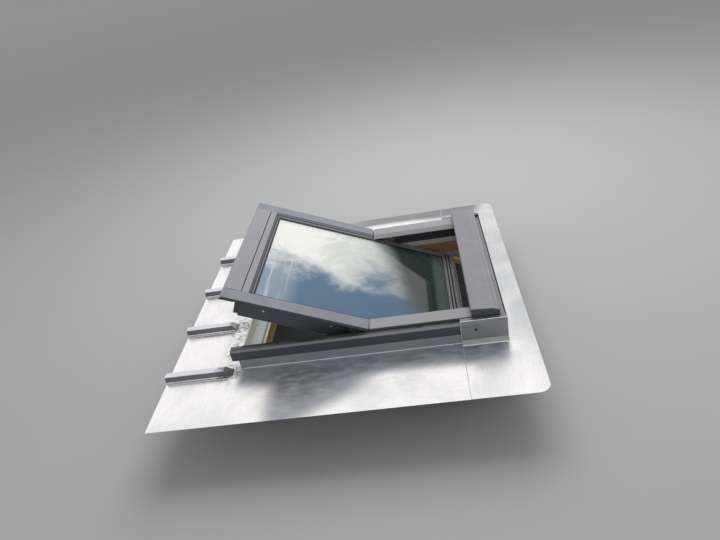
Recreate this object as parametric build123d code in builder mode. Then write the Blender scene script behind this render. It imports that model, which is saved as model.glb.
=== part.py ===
from build123d import *
import os
from math import cos, radians, sin

# A centre-pivot roof window with its zinc flashing collar, modelled as it lies in the roof.
# X runs across the slope, Y up the slope and Z out of the roof, in millimetres.
# The origin is on the roof covering, straight below the middle of the pivot axis.
# Sash pieces are drawn shut, in reach s down the slope and height h above the pivot axis,
# and are turned to the opened pose when they are saved.

# Window size and pose
FRAME_WIDTH = 780.0
FRAME_LENGTH = 978.0
PIVOT_ABOVE_MIDDLE = 7.0
PIVOT_Z = 100.0
OPEN_ANGLE = 24.0
FULL_TURN = 160.0

# Pine frame members
FRAME_TOP_DROP = 16.0
FRAME_HEIGHT = 142.0
SIDE_MEMBER = 41.0
RIDGE_WOOD = 16.0
FRAME_STEP = 20.0
HEAD_MEMBER = 45.0
SILL_MEMBER = 62.0
SILL_DROP = 84.0
WOOD_ROUND = 2.5
LINING_GROOVE_WIDTH = 18.0
LINING_GROOVE_DEPTH = 8.0
LINING_GROOVE_RISE = 10.0

# Pine sash members
SASH_SIDE_GAP = 5.0
SASH_HEAD_GAP = 7.0
SASH_SILL_GAP = 8.0
SASH_TOP_DROP = 20.0
SASH_DEPTH = 76.0
STILE_WIDTH = 44.0
BOTTOM_RAIL = 67.0
BOTTOM_STEP = 8.0
BOTTOM_STEP_WIDTH = 24.0
TOP_RAIL = 57.0
VENT_SLOT = 12.0
VENT_SLOT_INSET = 40.0
VENT_RAIL = 34.0
VENT_RAIL_DROP = 32.0
SASH_CHAMFER = 4.0
FILTER_PLAY = 0.3
FILTER_SET_BACK = 10.0

# Sealed glass unit and its gasket
REBATE = 20.0
OUTER_GLASS = 4.0
GLASS_CAVITY = 16.0
INNER_GLASS = 6.0
GLASS_EDGE_PLAY = 2.0
SPACER_INSET = 5.0
SPACER_WIDTH = 8.0
GLASS_SIGHT = 6.0
GASKET_WIDTH = 8.0
GASKET_HEIGHT = 1.8

# Folded aluminium covers of the sash
SHEET = 1.2
BEND = 2.0
TIGHT_BEND = 1.3
COVER_SIDE_INSET = 6.0
COVER_FACET = 58.0
COVER_SLOPE = 18.0
COVER_FOOT_DROP = 17.0
UPPER_COVER_PLAY = 4.0
COVER_LIP = 12.0
COVER_LEG_DROP = 90.0
TAB_DROP = 86.0
COVER_JOINT = 3.0
COVER_BUTT = 0.4
HINGE_CLEAR_REACH = 84.0
TIP_OVERHANG = 54.0
TIP_LIP = 13.0
TIP_DROP = 9.0
TIP_SHOULDER = 8.0
TIP_CROWN = 1.2
TIP_LEG_DROP = 60.0
TIP_START_DROP = 8.0
TIP_FACET = 66.5
TRIM_WIDTH = 30.5
TRIM_LIP = 2.6
TOP_COVER_STEP_FROM_HEAD = 45.0
TOP_COVER_LOW_DROP = 30.5
TOP_COVER_LIP_DROP = 43.0
TOP_RIB_HEIGHT = 2.4
TOP_RIB_WIDTH = 3.0
TOP_RIB_PITCH = 14.0
TOP_RIB_COUNT = 3
VENT_HOLE_LENGTH = 16.0
VENT_HOLE_WIDTH = 5.0
VENT_HOLE_PITCH = 26.0
VENT_HOLE_COUNT = 18
VENT_HOLE_FROM_HEAD = 52.0

# Frame covers, sill cover and hood
SIDE_COVER_REACH = 14.0
SIDE_COVER_INSET = 5.0
SIDE_COVER_HEIGHT = 43.5
SIDE_COVER_SEAT = 0.3
SIDE_COVER_RIDGE = 7.0
SIDE_COVER_END = 27.0
SIDE_COVER_LAP = 20.0
SILL_LIP = 40.0
SILL_LIP_GAP = 1.3
SILL_HEM = 6.0
SILL_HEM_DROP = 8.0
HOOD_FRONT_FROM_HEAD = 118.0
HOOD_DEPTH = 100.0
HOOD_OVERHANG = 6.0
HOOD_FRONT_HEIGHT = 34.0
HOOD_CREASE_HEIGHT = 29.0
HOOD_CREASE_FROM_REAR = 23.0
HOOD_REAR_HEIGHT = 21.0
HOOD_SEAT_GAP = 0.6
HOOD_NOSE = 3.0
HOOD_HEM = 8.0
FRAME_COVER_END = 6.0

# Rubber seals
SEAL_HEIGHT = 2.2
SEAL_WIDTH = 7.0
SEAL_INSET = 2.0
SIDE_SEAL_END = 16.0
HEAD_SEAL_THICKNESS = 5.0
HEAD_SEAL_HEIGHT = 10.0
HEAD_SEAL_DROP = 24.0
HEAD_TAPE_THICKNESS = 5.0
HEAD_TAPE_GAP = 0.4
SILL_SEAL_HEIGHT = 2.5
SILL_SEAL_INSET = 10.0

# Telescoping arc hinges
TRACK_RADIUS = 80.0
TRACK_PLATE = 6.0
TRACK_CORNER = 12.0
ARC_INNER_RADIUS = 56.0
ARC_OUTER_RADIUS = 70.0
ARC_SPAN = 140.0
ARC_LOWEST = -90.0
ARC_GRIP = 3.0
ARC_CLEARANCE = 0.3
ARC_WEB_RADIUS = 3.0
ARC_WEB_DEPTH = 2.5

# Ventilation flap with its control bar
FLAP_THICKNESS = 10.0
FLAP_GAP = 2.0
FLAP_END_INSET = 15.0
FLAP_WIDTH = 52.0
FLAP_OPEN = 35.0
FLAP_AXIS_FROM_HEAD = 17.0
FLAP_PIN_RADIUS = 3.0
FLAP_PIN_LENGTH = 9.0
FLAP_BRACKET = 10.0
FLAP_BRACKET_PLAY = 1.0
FLAP_PIN_PLAY = 0.08
BAR_END_INSET = 5.0
BAR_WIDTH = 22.0
BAR_HEIGHT = 13.0
BAR_STANDOFF = 14.0
BAR_FROM_EDGE = 8.0
BAR_FOOT_FROM_END = 30.0
BAR_FOOT_LENGTH = 30.0
BAR_FOOT_WIDTH = 12.0

# Lock, latch and strike
LATCH_TRAVEL = 10.5
LATCH_WIDTH = 30.0
LATCH_HEIGHT = 9.0
LATCH_DROP = 50.0
LATCH_LENGTH = 26.0
LATCH_BEVEL = 4.0
LATCH_PLAY = 0.4
LOCK_CASE_LENGTH = 86.0
LOCK_CASE_DEPTH = 30.0
LOCK_CASE_WALL = 5.0
STRIKE_LENGTH = 80.0
STRIKE_HEIGHT = 30.0
STRIKE_PLATE = 3.0
STRIKE_PLAY = 2.5
STRIKE_MORTISE = 11.0

# Barrel bolt and its bushes in the right frame member
BOLT_RADIUS = 3.5
BOLT_LENGTH = 34.0
BOLT_FROM_HEAD = 23.0
BOLT_DROP = 103.0
BOLT_TRAVEL = 18.0
BOLT_SET_BACK = 3.0
BOLT_PLAY = 0.1
KNOB_RADIUS = 2.5
KNOB_LENGTH = 14.0
KNOB_FROM_END = 8.0
KNOB_PLAY = 0.4
BOLT_CASE_LENGTH = 38.0
BOLT_CASE_WIDTH = 16.0
BOLT_CASE_HEIGHT = 13.0
BUSH_WALL = 2.0
BUSH_DEPTH = 18.0
BUSH_PLAY = 0.6

# Mounting brackets and cover screws
BRACKET_SHEET = 2.5
BRACKET_WIDTH = 60.0
BRACKET_FOOT = 66.0
BRACKET_LEG = 40.0
BRACKET_FOOT_DROP = 6.0
BRACKET_BEND = 4.0
BRACKET_FROM_SILL = 116.0
BRACKET_FROM_HEAD = 132.0
BRACKET_HOLE_RADIUS = 3.0
BRACKET_HOLE_FROM_LEG = 40.0
BRACKET_HOLE_SPACING = 28.0
BRACKET_LEG_HOLE_Z = 18.0
SCREW_HEAD_RADIUS = 3.8
SCREW_HEAD_HEIGHT = 1.6
SCREW_SHANK_RADIUS = 1.8
SCREW_SHANK_LENGTH = 18.0
SCREW_PLAY = 0.1
UPPER_SCREW_REACH = 130.0
LOWER_SCREW_FROM_END = 105.0
SCREW_DROP = 53.0

# Zinc flashing collar
ZINC = 1.0
ZINC_BEND = 3.0
COLLAR_BESIDE = 296.0
COLLAR_BELOW = 288.0
COLLAR_ABOVE = 92.0
COLLAR_CORNER = 40.0
COLLAR_PLAY = 0.8
SIDE_UPSTAND = 60.0
APRON_UPSTAND = 38.0
HEAD_JOINT_FROM_HEAD = 160.0
HEAD_ZINC = 1.5
BOX_PLAY = 0.6
BOX_TOP_DROP = 2.0
BOX_FLANGE = 19.0
BOX_FOOT = 15.0
BACK_WALL_GAP = 2.0
BACK_WALL_TOP_DROP = 6.0
BOX_SLIT_Z = 73.0
BOX_SLIT = 1.6
BOX_SLIT_LENGTH = 66.0
BOX_HOLE = 11.0
BOX_HOLE_FROM_JOINT = 52.0
BOX_HOLE_Z = 58.0
EDGE_NOTCH_X = -426.0
EDGE_NOTCH = 12.0
RIB_FIRST_X = 420.0
RIB_PITCH = 288.0
RIB_LENGTHS = (258.0, 216.0, 236.0, 244.0)
RIB_BASE = 34.0
RIB_TOP = 26.0
RIB_HEIGHT = 26.0
RIB_ROUND = 6.0
RIB_FLANGE = 10.0
RIB_HIP = 30.0
RIB_OVERHANG = 4.0

# Places that follow from the sizes above
SIDE_X = FRAME_WIDTH / 2
SIDE_INNER_X = SIDE_X - SIDE_MEMBER
SILL_Y = -FRAME_LENGTH / 2 - PIVOT_ABOVE_MIDDLE
SILL_INNER_Y = SILL_Y + SILL_MEMBER
HEAD_Y = SILL_Y + FRAME_LENGTH
HEAD_INNER_Y = HEAD_Y - HEAD_MEMBER
FRAME_TOP_Z = PIVOT_Z - FRAME_TOP_DROP
FRAME_BOTTOM_Z = FRAME_TOP_Z - FRAME_HEIGHT
SILL_TOP_Z = FRAME_TOP_Z - SILL_DROP
STEP_X = SIDE_X - RIDGE_WOOD
STEP_Z = FRAME_TOP_Z - FRAME_STEP
GROOVE_BOTTOM_Z = FRAME_BOTTOM_Z + LINING_GROOVE_RISE
GROOVE_TOP_Z = GROOVE_BOTTOM_Z + LINING_GROOVE_WIDTH

SASH_BOTTOM_REACH = -SILL_Y - SASH_SILL_GAP
SASH_X = SIDE_INNER_X - SASH_SIDE_GAP
SASH_TOP_S = -(HEAD_INNER_Y - SASH_HEAD_GAP)
SASH_LENGTH = SASH_BOTTOM_REACH - SASH_TOP_S
SASH_UNDER = -SASH_TOP_DROP - SASH_DEPTH
STILE_INNER_X = SASH_X - STILE_WIDTH
REBATE_X = STILE_INNER_X + REBATE
VENT_SLOT_HALF_LENGTH = STILE_INNER_X - VENT_SLOT_INSET
VENT_RAIL_S = SASH_TOP_S + VENT_RAIL
TOP_RAIL_S = VENT_RAIL_S + VENT_SLOT
TOP_LIP_S = TOP_RAIL_S + TOP_RAIL
REBATE_TOP_S = TOP_LIP_S - REBATE
BOTTOM_LIP_S = SASH_BOTTOM_REACH - BOTTOM_RAIL
REBATE_BOTTOM_S = BOTTOM_LIP_S + REBATE
CAVITY_TOP = -SASH_TOP_DROP - OUTER_GLASS
CAVITY_BOTTOM = CAVITY_TOP - GLASS_CAVITY
GLASS_SEAT = CAVITY_BOTTOM - INNER_GLASS
SIGHT_X = STILE_INNER_X + GLASS_SIGHT
SIGHT_TOP_S = TOP_LIP_S - GLASS_SIGHT
SIGHT_BOTTOM_S = BOTTOM_LIP_S + GLASS_SIGHT

COVER_HALF_WIDTH = SIDE_X - COVER_SIDE_INSET
COVER_FACET_X = COVER_HALF_WIDTH - COVER_FACET
COVER_FOOT_X = COVER_FACET_X - COVER_SLOPE
COVER_FOOT_S = SIGHT_BOTTOM_S + (COVER_FOOT_X - SIGHT_X)
TIP_S = SASH_BOTTOM_REACH + TIP_OVERHANG
TIP_START_S = TIP_S - TIP_FACET
LEG_END_S = TIP_START_S - COVER_JOINT
TIP_SHOULDER_S = TIP_S - TIP_SHOULDER
COVER_START_S = COVER_JOINT / 2
SCREW_REACHES = (UPPER_SCREW_REACH, SASH_BOTTOM_REACH - LOWER_SCREW_FROM_END)
TOP_COVER_STEP_REACH = HEAD_INNER_Y - TOP_COVER_STEP_FROM_HEAD
VENT_HOLE_REACH = HEAD_INNER_Y - VENT_HOLE_FROM_HEAD
SIDE_COVER_X = SIDE_X + SIDE_COVER_REACH
SIDE_COVER_INNER_X = SIDE_INNER_X + SIDE_COVER_INSET
SIDE_COVER_TOP_Z = FRAME_TOP_Z + SIDE_COVER_SEAT + SHEET
SIDE_COVER_STEP_X = STEP_X - SIDE_COVER_SEAT - SHEET
SIDE_COVER_STEP_Z = STEP_Z + SIDE_COVER_SEAT + SHEET
SIDE_COVER_END_Y = SILL_Y - SIDE_COVER_END
HOOD_FRONT_Y = HEAD_Y - HOOD_FRONT_FROM_HEAD
HOOD_REAR_Y = HOOD_FRONT_Y + HOOD_DEPTH
HOOD_X = COVER_HALF_WIDTH + HOOD_OVERHANG
SEAL_X = COVER_HALF_WIDTH - SEAL_INSET - SEAL_WIDTH

FLAP_LENGTH = 2 * (STILE_INNER_X - FLAP_END_INSET)
BAR_LENGTH = FLAP_LENGTH - 2 * BAR_END_INSET
BAR_FOOT_X = BAR_LENGTH / 2 - BAR_FOOT_FROM_END
FLAP_AXIS_REACH = HEAD_INNER_Y - FLAP_AXIS_FROM_HEAD
FLAP_AXIS_H = SASH_UNDER - FLAP_GAP - FLAP_THICKNESS / 2
FLAP_UNDER = FLAP_AXIS_H - FLAP_THICKNESS / 2
FLAP_EDGE_S = -FLAP_AXIS_REACH - FLAP_THICKNESS / 2 + FLAP_WIDTH
BAR_S = FLAP_EDGE_S - BAR_FROM_EDGE
BAR_H = FLAP_UNDER - BAR_STANDOFF - BAR_HEIGHT / 2
LATCH_TOP = -LATCH_DROP + LATCH_HEIGHT / 2
LATCH_BOTTOM = LATCH_TOP - LATCH_HEIGHT
BOLT_REACH = HEAD_INNER_Y - BOLT_FROM_HEAD

BRACKET_PLACES = (("sill", SILL_Y + BRACKET_FROM_SILL), ("head", HEAD_Y - BRACKET_FROM_HEAD))
BRACKET_HOLE_X = SIDE_X + BRACKET_HOLE_FROM_LEG

COLLAR_HALF_WIDTH = SIDE_X + COLLAR_BESIDE
COLLAR_BOTTOM_Y = SILL_Y - COLLAR_BELOW
COLLAR_TOP_Y = HEAD_Y + COLLAR_ABOVE
HEAD_JOINT_Y = HEAD_Y - HEAD_JOINT_FROM_HEAD
UPSTAND_X = SIDE_COVER_X - SHEET - COLLAR_PLAY - ZINC
APRON_Y = SILL_Y - SILL_LIP_GAP - SHEET
BOX_X = SIDE_COVER_X + BOX_PLAY + HEAD_ZINC
BACK_WALL_Y = HEAD_Y + BACK_WALL_GAP + HEAD_ZINC
BOX_TOP_Z = PIVOT_Z - BOX_TOP_DROP

PIVOT_AXIS = Axis((0, 0, PIVOT_Z), (-1, 0, 0))
FLAP_AXIS = Axis((0, FLAP_AXIS_REACH, PIVOT_Z + FLAP_AXIS_H), (1, 0, 0))

os.makedirs("parts", exist_ok=True)


def across(y):
    """Plane for a section drawn in (x, z); extruding it runs down the slope."""
    return Plane(origin=(0, y, 0), x_dir=(1, 0, 0), z_dir=(0, -1, 0))


def lengthwise(x):
    """Plane for a section drawn in (y, z); extruding it runs towards +X."""
    return Plane(origin=(x, 0, 0), x_dir=(0, 1, 0), z_dir=(1, 0, 0))


def sash_across(s):
    """Plane for a shut sash section drawn in (x, h); extruding it runs to greater reach."""
    return Plane(origin=(0, -s, PIVOT_Z), x_dir=(1, 0, 0), z_dir=(0, -1, 0))


def sash_lengthwise(x):
    """Plane for a shut sash section drawn in (s, h); extruding it runs towards -X."""
    return Plane(origin=(x, 0, PIVOT_Z), x_dir=(0, -1, 0), z_dir=(-1, 0, 0))


def sash_face(h):
    """Plane parallel to the shut glass, drawn in (x, y)."""
    return Plane.XY.offset(PIVOT_Z + h)


def outline(points):
    """Fills a closed outline in the sketch that is open."""
    with BuildLine() as edge:
        Polyline(*points, close=True)
    make_face(edge.edges())


def box_section(low, high):
    """Fills the rectangle between two opposite corners."""
    outline([low, (high[0], low[1]), high, (low[0], high[1])])


def folded(points, thickness=SHEET, bend=BEND, left=False):
    """Fills a folded sheet whose outer face follows the points, its body to their right or left."""
    path = [Vector(*point) for point in points]
    ahead = [(end - start).normalized() for start, end in zip(path, path[1:])]
    aside = [step.rotate(Axis.Z, 90 if left else -90) for step in ahead]
    inner = [path[0] + aside[0] * thickness]
    inner_bends = []
    for corner, before, after, step in zip(path[1:], aside, aside[1:], ahead):
        inner.append(corner + (before + after) * (thickness / (1 + before.dot(after))))
        closing = step.dot(after) < 0
        inner_bends.append(max(bend - thickness, 0) if closing else bend + thickness)
    inner.append(path[-1] + aside[-1] * thickness)
    bends = [0] + [bend] * len(inner_bends) + [0, 0] + inner_bends[::-1] + [0]
    with BuildLine() as fold:
        FilletPolyline(*path, *inner[::-1], radius=bends, close=True)
    make_face(fold.edges())


def ring(half_x, low_s, high_s, width):
    """Fills a rectangular ring on a sash face, its inner edge at the given half width and reaches."""
    box_section((-half_x - width, -high_s - width), (half_x + width, -low_s + width))
    with BuildSketch(mode=Mode.PRIVATE) as hole:
        box_section((-half_x, -high_s), (half_x, -low_s))
    add(hole.sketch, mode=Mode.SUBTRACT)


def save(part, label, turn=0.0):
    """Writes one finished piece, turned about the pivot when it rides on the sash."""
    placed = part.rotate(PIVOT_AXIS, turn) if turn else part
    placed.label = label
    export_step(placed, f"parts/{label}.step")


def save_pair(part, name, turn=0.0):
    """Writes the right-hand piece and its mirror image."""
    save(part, f"{name}_right", turn)
    save(part.mirror(Plane.YZ), f"{name}_left", turn)


def turned(reach, height, angle):
    """Place (y, z) of a sash point after the sash has turned from shut by the angle."""
    c, s = cos(radians(angle)), sin(radians(angle))
    return -reach * c + height * s, PIVOT_Z + reach * s + height * c


# Frame: four pine members with a groove for the room's lining
bolt_places = [turned(-BOLT_REACH, -BOLT_DROP, angle) for angle in (0.0, FULL_TURN)]

with BuildPart() as frame_side:
    with BuildSketch(across(HEAD_Y)):
        outline([
            (SIDE_INNER_X, FRAME_TOP_Z),
            (SIDE_X, FRAME_TOP_Z),
            (SIDE_X, FRAME_BOTTOM_Z),
            (SIDE_INNER_X, FRAME_BOTTOM_Z),
            (SIDE_INNER_X, GROOVE_BOTTOM_Z),
            (SIDE_INNER_X + LINING_GROOVE_DEPTH, GROOVE_BOTTOM_Z),
            (SIDE_INNER_X + LINING_GROOVE_DEPTH, GROOVE_TOP_Z),
            (SIDE_INNER_X, GROOVE_TOP_Z),
        ])
    extrude(amount=FRAME_LENGTH)
    with BuildSketch(across(HEAD_INNER_Y)):
        box_section((SIDE_INNER_X, STEP_Z), (STEP_X, FRAME_TOP_Z))
    extrude(amount=HEAD_INNER_Y - SILL_Y, mode=Mode.SUBTRACT)
    with BuildSketch(lengthwise(SIDE_INNER_X)):
        with Locations((0, PIVOT_Z - TRACK_RADIUS / 2)):
            Rectangle(2 * TRACK_RADIUS, TRACK_RADIUS)
        fillet(vertices().group_by(Axis.Y)[0], TRACK_CORNER)
    extrude(amount=TRACK_PLATE, mode=Mode.SUBTRACT)
save(frame_side.part.mirror(Plane.YZ), "frame_left")

with BuildPart() as frame_right:
    add(frame_side.part)
    with BuildSketch(lengthwise(SIDE_INNER_X)):
        with Locations(*bolt_places):
            Circle(BOLT_RADIUS + BUSH_PLAY + BUSH_WALL)
    extrude(amount=BUSH_DEPTH, mode=Mode.SUBTRACT)
save(frame_right.part, "frame_right")

with BuildPart() as frame_sill:
    with BuildSketch(lengthwise(-SIDE_INNER_X)):
        outline([
            (SILL_Y, SILL_TOP_Z),
            (SILL_INNER_Y, SILL_TOP_Z),
            (SILL_INNER_Y, GROOVE_TOP_Z),
            (SILL_INNER_Y - LINING_GROOVE_DEPTH, GROOVE_TOP_Z),
            (SILL_INNER_Y - LINING_GROOVE_DEPTH, GROOVE_BOTTOM_Z),
            (SILL_INNER_Y, GROOVE_BOTTOM_Z),
            (SILL_INNER_Y, FRAME_BOTTOM_Z),
            (SILL_Y, FRAME_BOTTOM_Z),
        ])
    extrude(amount=2 * SIDE_INNER_X)
save(frame_sill.part, "frame_sill")

with BuildPart() as frame_head:
    with BuildSketch(lengthwise(-SIDE_INNER_X)):
        outline([
            (HEAD_INNER_Y, FRAME_TOP_Z),
            (HEAD_Y, FRAME_TOP_Z),
            (HEAD_Y, FRAME_BOTTOM_Z),
            (HEAD_INNER_Y, FRAME_BOTTOM_Z),
            (HEAD_INNER_Y, GROOVE_BOTTOM_Z),
            (HEAD_INNER_Y + LINING_GROOVE_DEPTH, GROOVE_BOTTOM_Z),
            (HEAD_INNER_Y + LINING_GROOVE_DEPTH, GROOVE_TOP_Z),
            (HEAD_INNER_Y, GROOVE_TOP_Z),
        ])
    extrude(amount=2 * SIDE_INNER_X)
    with BuildSketch(across(HEAD_INNER_Y + STRIKE_MORTISE)):
        with Locations((0, PIVOT_Z - LATCH_DROP)):
            Rectangle(LATCH_WIDTH + 2 * STRIKE_PLAY, LATCH_HEIGHT + 2 * STRIKE_PLAY)
    extrude(amount=STRIKE_MORTISE, mode=Mode.SUBTRACT)
save(frame_head.part, "frame_head")

# Frame cladding: side covers with a ridge and a closed lower end, upper covers, sill and hood
side_cover_outline = [
    (SIDE_COVER_INNER_X, SIDE_COVER_STEP_Z),
    (SIDE_COVER_STEP_X, SIDE_COVER_STEP_Z),
    (SIDE_COVER_STEP_X, SIDE_COVER_TOP_Z),
    (SIDE_COVER_X - SIDE_COVER_RIDGE, SIDE_COVER_TOP_Z),
    (SIDE_COVER_X, SIDE_COVER_TOP_Z - SIDE_COVER_RIDGE),
    (SIDE_COVER_X, SIDE_COVER_TOP_Z - SIDE_COVER_HEIGHT),
]

with BuildPart() as side_cover:
    with BuildSketch(across(HEAD_JOINT_Y + SIDE_COVER_LAP)):
        folded(side_cover_outline, bend=TIGHT_BEND)
    extrude(amount=HEAD_JOINT_Y + SIDE_COVER_LAP - SIDE_COVER_END_Y)
    with BuildSketch(across(SIDE_COVER_END_Y + SHEET)):
        outline(side_cover_outline + [(SIDE_COVER_INNER_X, SIDE_COVER_TOP_Z - SIDE_COVER_HEIGHT)])
    extrude(amount=SHEET)
save_pair(side_cover.part, "side_cover")

cover_outline = [
    (COVER_FOOT_X, -COVER_FOOT_DROP),
    (COVER_FACET_X, 0),
    (COVER_HALF_WIDTH, 0),
    (COVER_HALF_WIDTH, -COVER_LIP),
]

with BuildPart() as frame_cover:
    with BuildSketch(sash_across(-(HOOD_REAR_Y - FRAME_COVER_END))):
        raised_foot = (COVER_FOOT_X, -COVER_FOOT_DROP + UPPER_COVER_PLAY)
        folded([raised_foot] + cover_outline[1:] + [(SEAL_X, -COVER_LIP)])
    extrude(amount=HOOD_REAR_Y - FRAME_COVER_END - COVER_START_S)
    with BuildSketch(sash_lengthwise(COVER_FACET_X)):
        box_section((-HOOD_REAR_Y, -COVER_FOOT_DROP - SHEET),
                    (-HEAD_INNER_Y, -FRAME_TOP_DROP + SIDE_COVER_SEAT))
    extrude(amount=COVER_FACET_X - COVER_FOOT_X + SHEET, mode=Mode.SUBTRACT)
save_pair(frame_cover.part, "frame_cover")

with BuildPart() as sill_cover:
    with BuildSketch(lengthwise(-SIDE_INNER_X)):
        folded([
            (SILL_INNER_Y, SILL_TOP_Z),
            (SILL_Y - SILL_LIP_GAP, SILL_TOP_Z),
            (SILL_Y - SILL_LIP_GAP, SILL_TOP_Z + SILL_LIP),
            (SILL_Y - SILL_LIP_GAP - SILL_HEM, SILL_TOP_Z + SILL_LIP),
            (SILL_Y - SILL_LIP_GAP - SILL_HEM, SILL_TOP_Z + SILL_LIP - SILL_HEM_DROP),
        ], bend=TIGHT_BEND)
    extrude(amount=2 * SIDE_INNER_X)
save(sill_cover.part, "sill_cover")

hood_top = [
    (HOOD_REAR_Y, FRAME_TOP_Z + SIDE_COVER_SEAT),
    (HOOD_REAR_Y, PIVOT_Z + HOOD_REAR_HEIGHT),
    (HOOD_REAR_Y - HOOD_CREASE_FROM_REAR, PIVOT_Z + HOOD_CREASE_HEIGHT),
    (HOOD_FRONT_Y + HOOD_NOSE, PIVOT_Z + HOOD_FRONT_HEIGHT),
    (HOOD_FRONT_Y, PIVOT_Z + HOOD_FRONT_HEIGHT - HOOD_NOSE),
    (HOOD_FRONT_Y, PIVOT_Z + HOOD_SEAT_GAP),
]

with BuildPart() as head_hood:
    with BuildSketch(lengthwise(-HOOD_X)):
        folded(hood_top + [(HOOD_FRONT_Y + HOOD_HEM, PIVOT_Z + HOOD_SEAT_GAP)],
               bend=TIGHT_BEND, left=True)
    extrude(amount=2 * HOOD_X)
    with BuildSketch(lengthwise(-HOOD_X)) as hood_end:
        outline([(HOOD_REAR_Y, PIVOT_Z + HOOD_SEAT_GAP)] + hood_top[1:])
    extrude(amount=SHEET)
    with BuildSketch(lengthwise(HOOD_X - SHEET)):
        add(hood_end.sketch_local)
    extrude(amount=SHEET)
    for corner_x in (-HOOD_X, COVER_HALF_WIDTH):
        with BuildSketch(lengthwise(corner_x)):
            box_section((HOOD_FRONT_Y, FRAME_TOP_Z), (HOOD_REAR_Y, PIVOT_Z + HOOD_SEAT_GAP))
        extrude(amount=HOOD_OVERHANG, mode=Mode.SUBTRACT)
save(head_hood.part, "head_hood")

# Foam tape on the frame head, between the hood and the wall of the collar
with BuildPart() as head_tape:
    with BuildSketch(lengthwise(-SIDE_X)):
        box_section((HOOD_REAR_Y + HEAD_TAPE_GAP, FRAME_TOP_Z), (HEAD_Y, FRAME_TOP_Z + HEAD_TAPE_THICKNESS))
        fillet(vertices().group_by(Axis.Y)[-1], WOOD_ROUND / 2)
    extrude(amount=FRAME_WIDTH)
save(head_tape.part, "head_tape")

# Rubber seals between frame and sash
with BuildPart() as side_seal:
    with BuildSketch(across(HEAD_JOINT_Y + SIDE_COVER_LAP)):
        box_section((SEAL_X, SIDE_COVER_TOP_Z), (SEAL_X + SEAL_WIDTH, SIDE_COVER_TOP_Z + SEAL_HEIGHT))
        fillet(vertices().group_by(Axis.Y)[-1], SEAL_HEIGHT / 2)
    extrude(amount=HEAD_JOINT_Y + SIDE_COVER_LAP - SILL_Y - SIDE_SEAL_END)
save_pair(side_seal.part, "side_seal")

with BuildPart() as head_seal:
    with BuildSketch(lengthwise(-SASH_X)):
        box_section((HEAD_INNER_Y - HEAD_SEAL_THICKNESS, PIVOT_Z - HEAD_SEAL_DROP - HEAD_SEAL_HEIGHT),
                    (HEAD_INNER_Y, PIVOT_Z - HEAD_SEAL_DROP))
        fillet(vertices().group_by(Axis.X)[0], HEAD_SEAL_THICKNESS / 2)
    extrude(amount=2 * SASH_X)
save(head_seal.part, "head_seal")

with BuildPart() as sill_seal:
    with BuildSketch(lengthwise(-SASH_X)):
        box_section((SILL_INNER_Y - SILL_SEAL_INSET - SEAL_WIDTH, SILL_TOP_Z + SHEET),
                    (SILL_INNER_Y - SILL_SEAL_INSET, SILL_TOP_Z + SHEET + SILL_SEAL_HEIGHT))
        fillet(vertices().group_by(Axis.Y)[-1], SILL_SEAL_HEIGHT / 2)
    extrude(amount=2 * SASH_X)
save(sill_seal.part, "sill_seal")

# Sash: two stiles and three rails, rebated for the glass
with BuildPart() as stile:
    with BuildSketch(sash_across(SASH_TOP_S)):
        outline([
            (STILE_INNER_X, SASH_UNDER + SASH_CHAMFER),
            (STILE_INNER_X + SASH_CHAMFER, SASH_UNDER),
            (SASH_X, SASH_UNDER),
            (SASH_X, -SASH_TOP_DROP),
            (REBATE_X, -SASH_TOP_DROP),
            (REBATE_X, GLASS_SEAT),
            (STILE_INNER_X + SASH_CHAMFER, GLASS_SEAT),
            (STILE_INNER_X, GLASS_SEAT - SASH_CHAMFER),
        ])
    extrude(amount=SASH_LENGTH)
    with BuildSketch(sash_lengthwise(SASH_X)):
        box_section((SASH_BOTTOM_REACH - BOTTOM_STEP_WIDTH, SASH_UNDER),
                    (SASH_BOTTOM_REACH, SASH_UNDER + BOTTOM_STEP))
    extrude(amount=STILE_WIDTH, mode=Mode.SUBTRACT)
    with BuildSketch(sash_lengthwise(SASH_X)):
        with Locations((0, -TRACK_RADIUS / 2)):
            Rectangle(2 * TRACK_RADIUS, TRACK_RADIUS)
        fillet(vertices().group_by(Axis.Y)[0], TRACK_CORNER)
    extrude(amount=TRACK_PLATE, mode=Mode.SUBTRACT)
    with BuildSketch(sash_lengthwise(SASH_X)):
        with Locations(*[(reach, -SCREW_DROP) for reach in SCREW_REACHES]):
            Circle(SCREW_SHANK_RADIUS + SCREW_PLAY)
    extrude(amount=SCREW_SHANK_LENGTH, mode=Mode.SUBTRACT)
save_pair(stile.part, "sash_stile", OPEN_ANGLE)

with BuildPart() as bottom_rail:
    with BuildSketch(sash_lengthwise(STILE_INNER_X)):
        outline([
            (BOTTOM_LIP_S, GLASS_SEAT - SASH_CHAMFER),
            (BOTTOM_LIP_S + SASH_CHAMFER, GLASS_SEAT),
            (SASH_BOTTOM_REACH, GLASS_SEAT),
            (SASH_BOTTOM_REACH, SASH_UNDER + BOTTOM_STEP),
            (SASH_BOTTOM_REACH - BOTTOM_STEP_WIDTH, SASH_UNDER + BOTTOM_STEP),
            (SASH_BOTTOM_REACH - BOTTOM_STEP_WIDTH, SASH_UNDER),
            (BOTTOM_LIP_S + SASH_CHAMFER, SASH_UNDER),
            (BOTTOM_LIP_S, SASH_UNDER + SASH_CHAMFER),
        ])
    extrude(amount=2 * STILE_INNER_X)
    with BuildSketch(sash_lengthwise(REBATE_X)):
        box_section((REBATE_BOTTOM_S, GLASS_SEAT), (SASH_BOTTOM_REACH, -SASH_TOP_DROP))
    extrude(amount=2 * REBATE_X)
save(bottom_rail.part, "sash_bottom_rail", OPEN_ANGLE)

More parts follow.
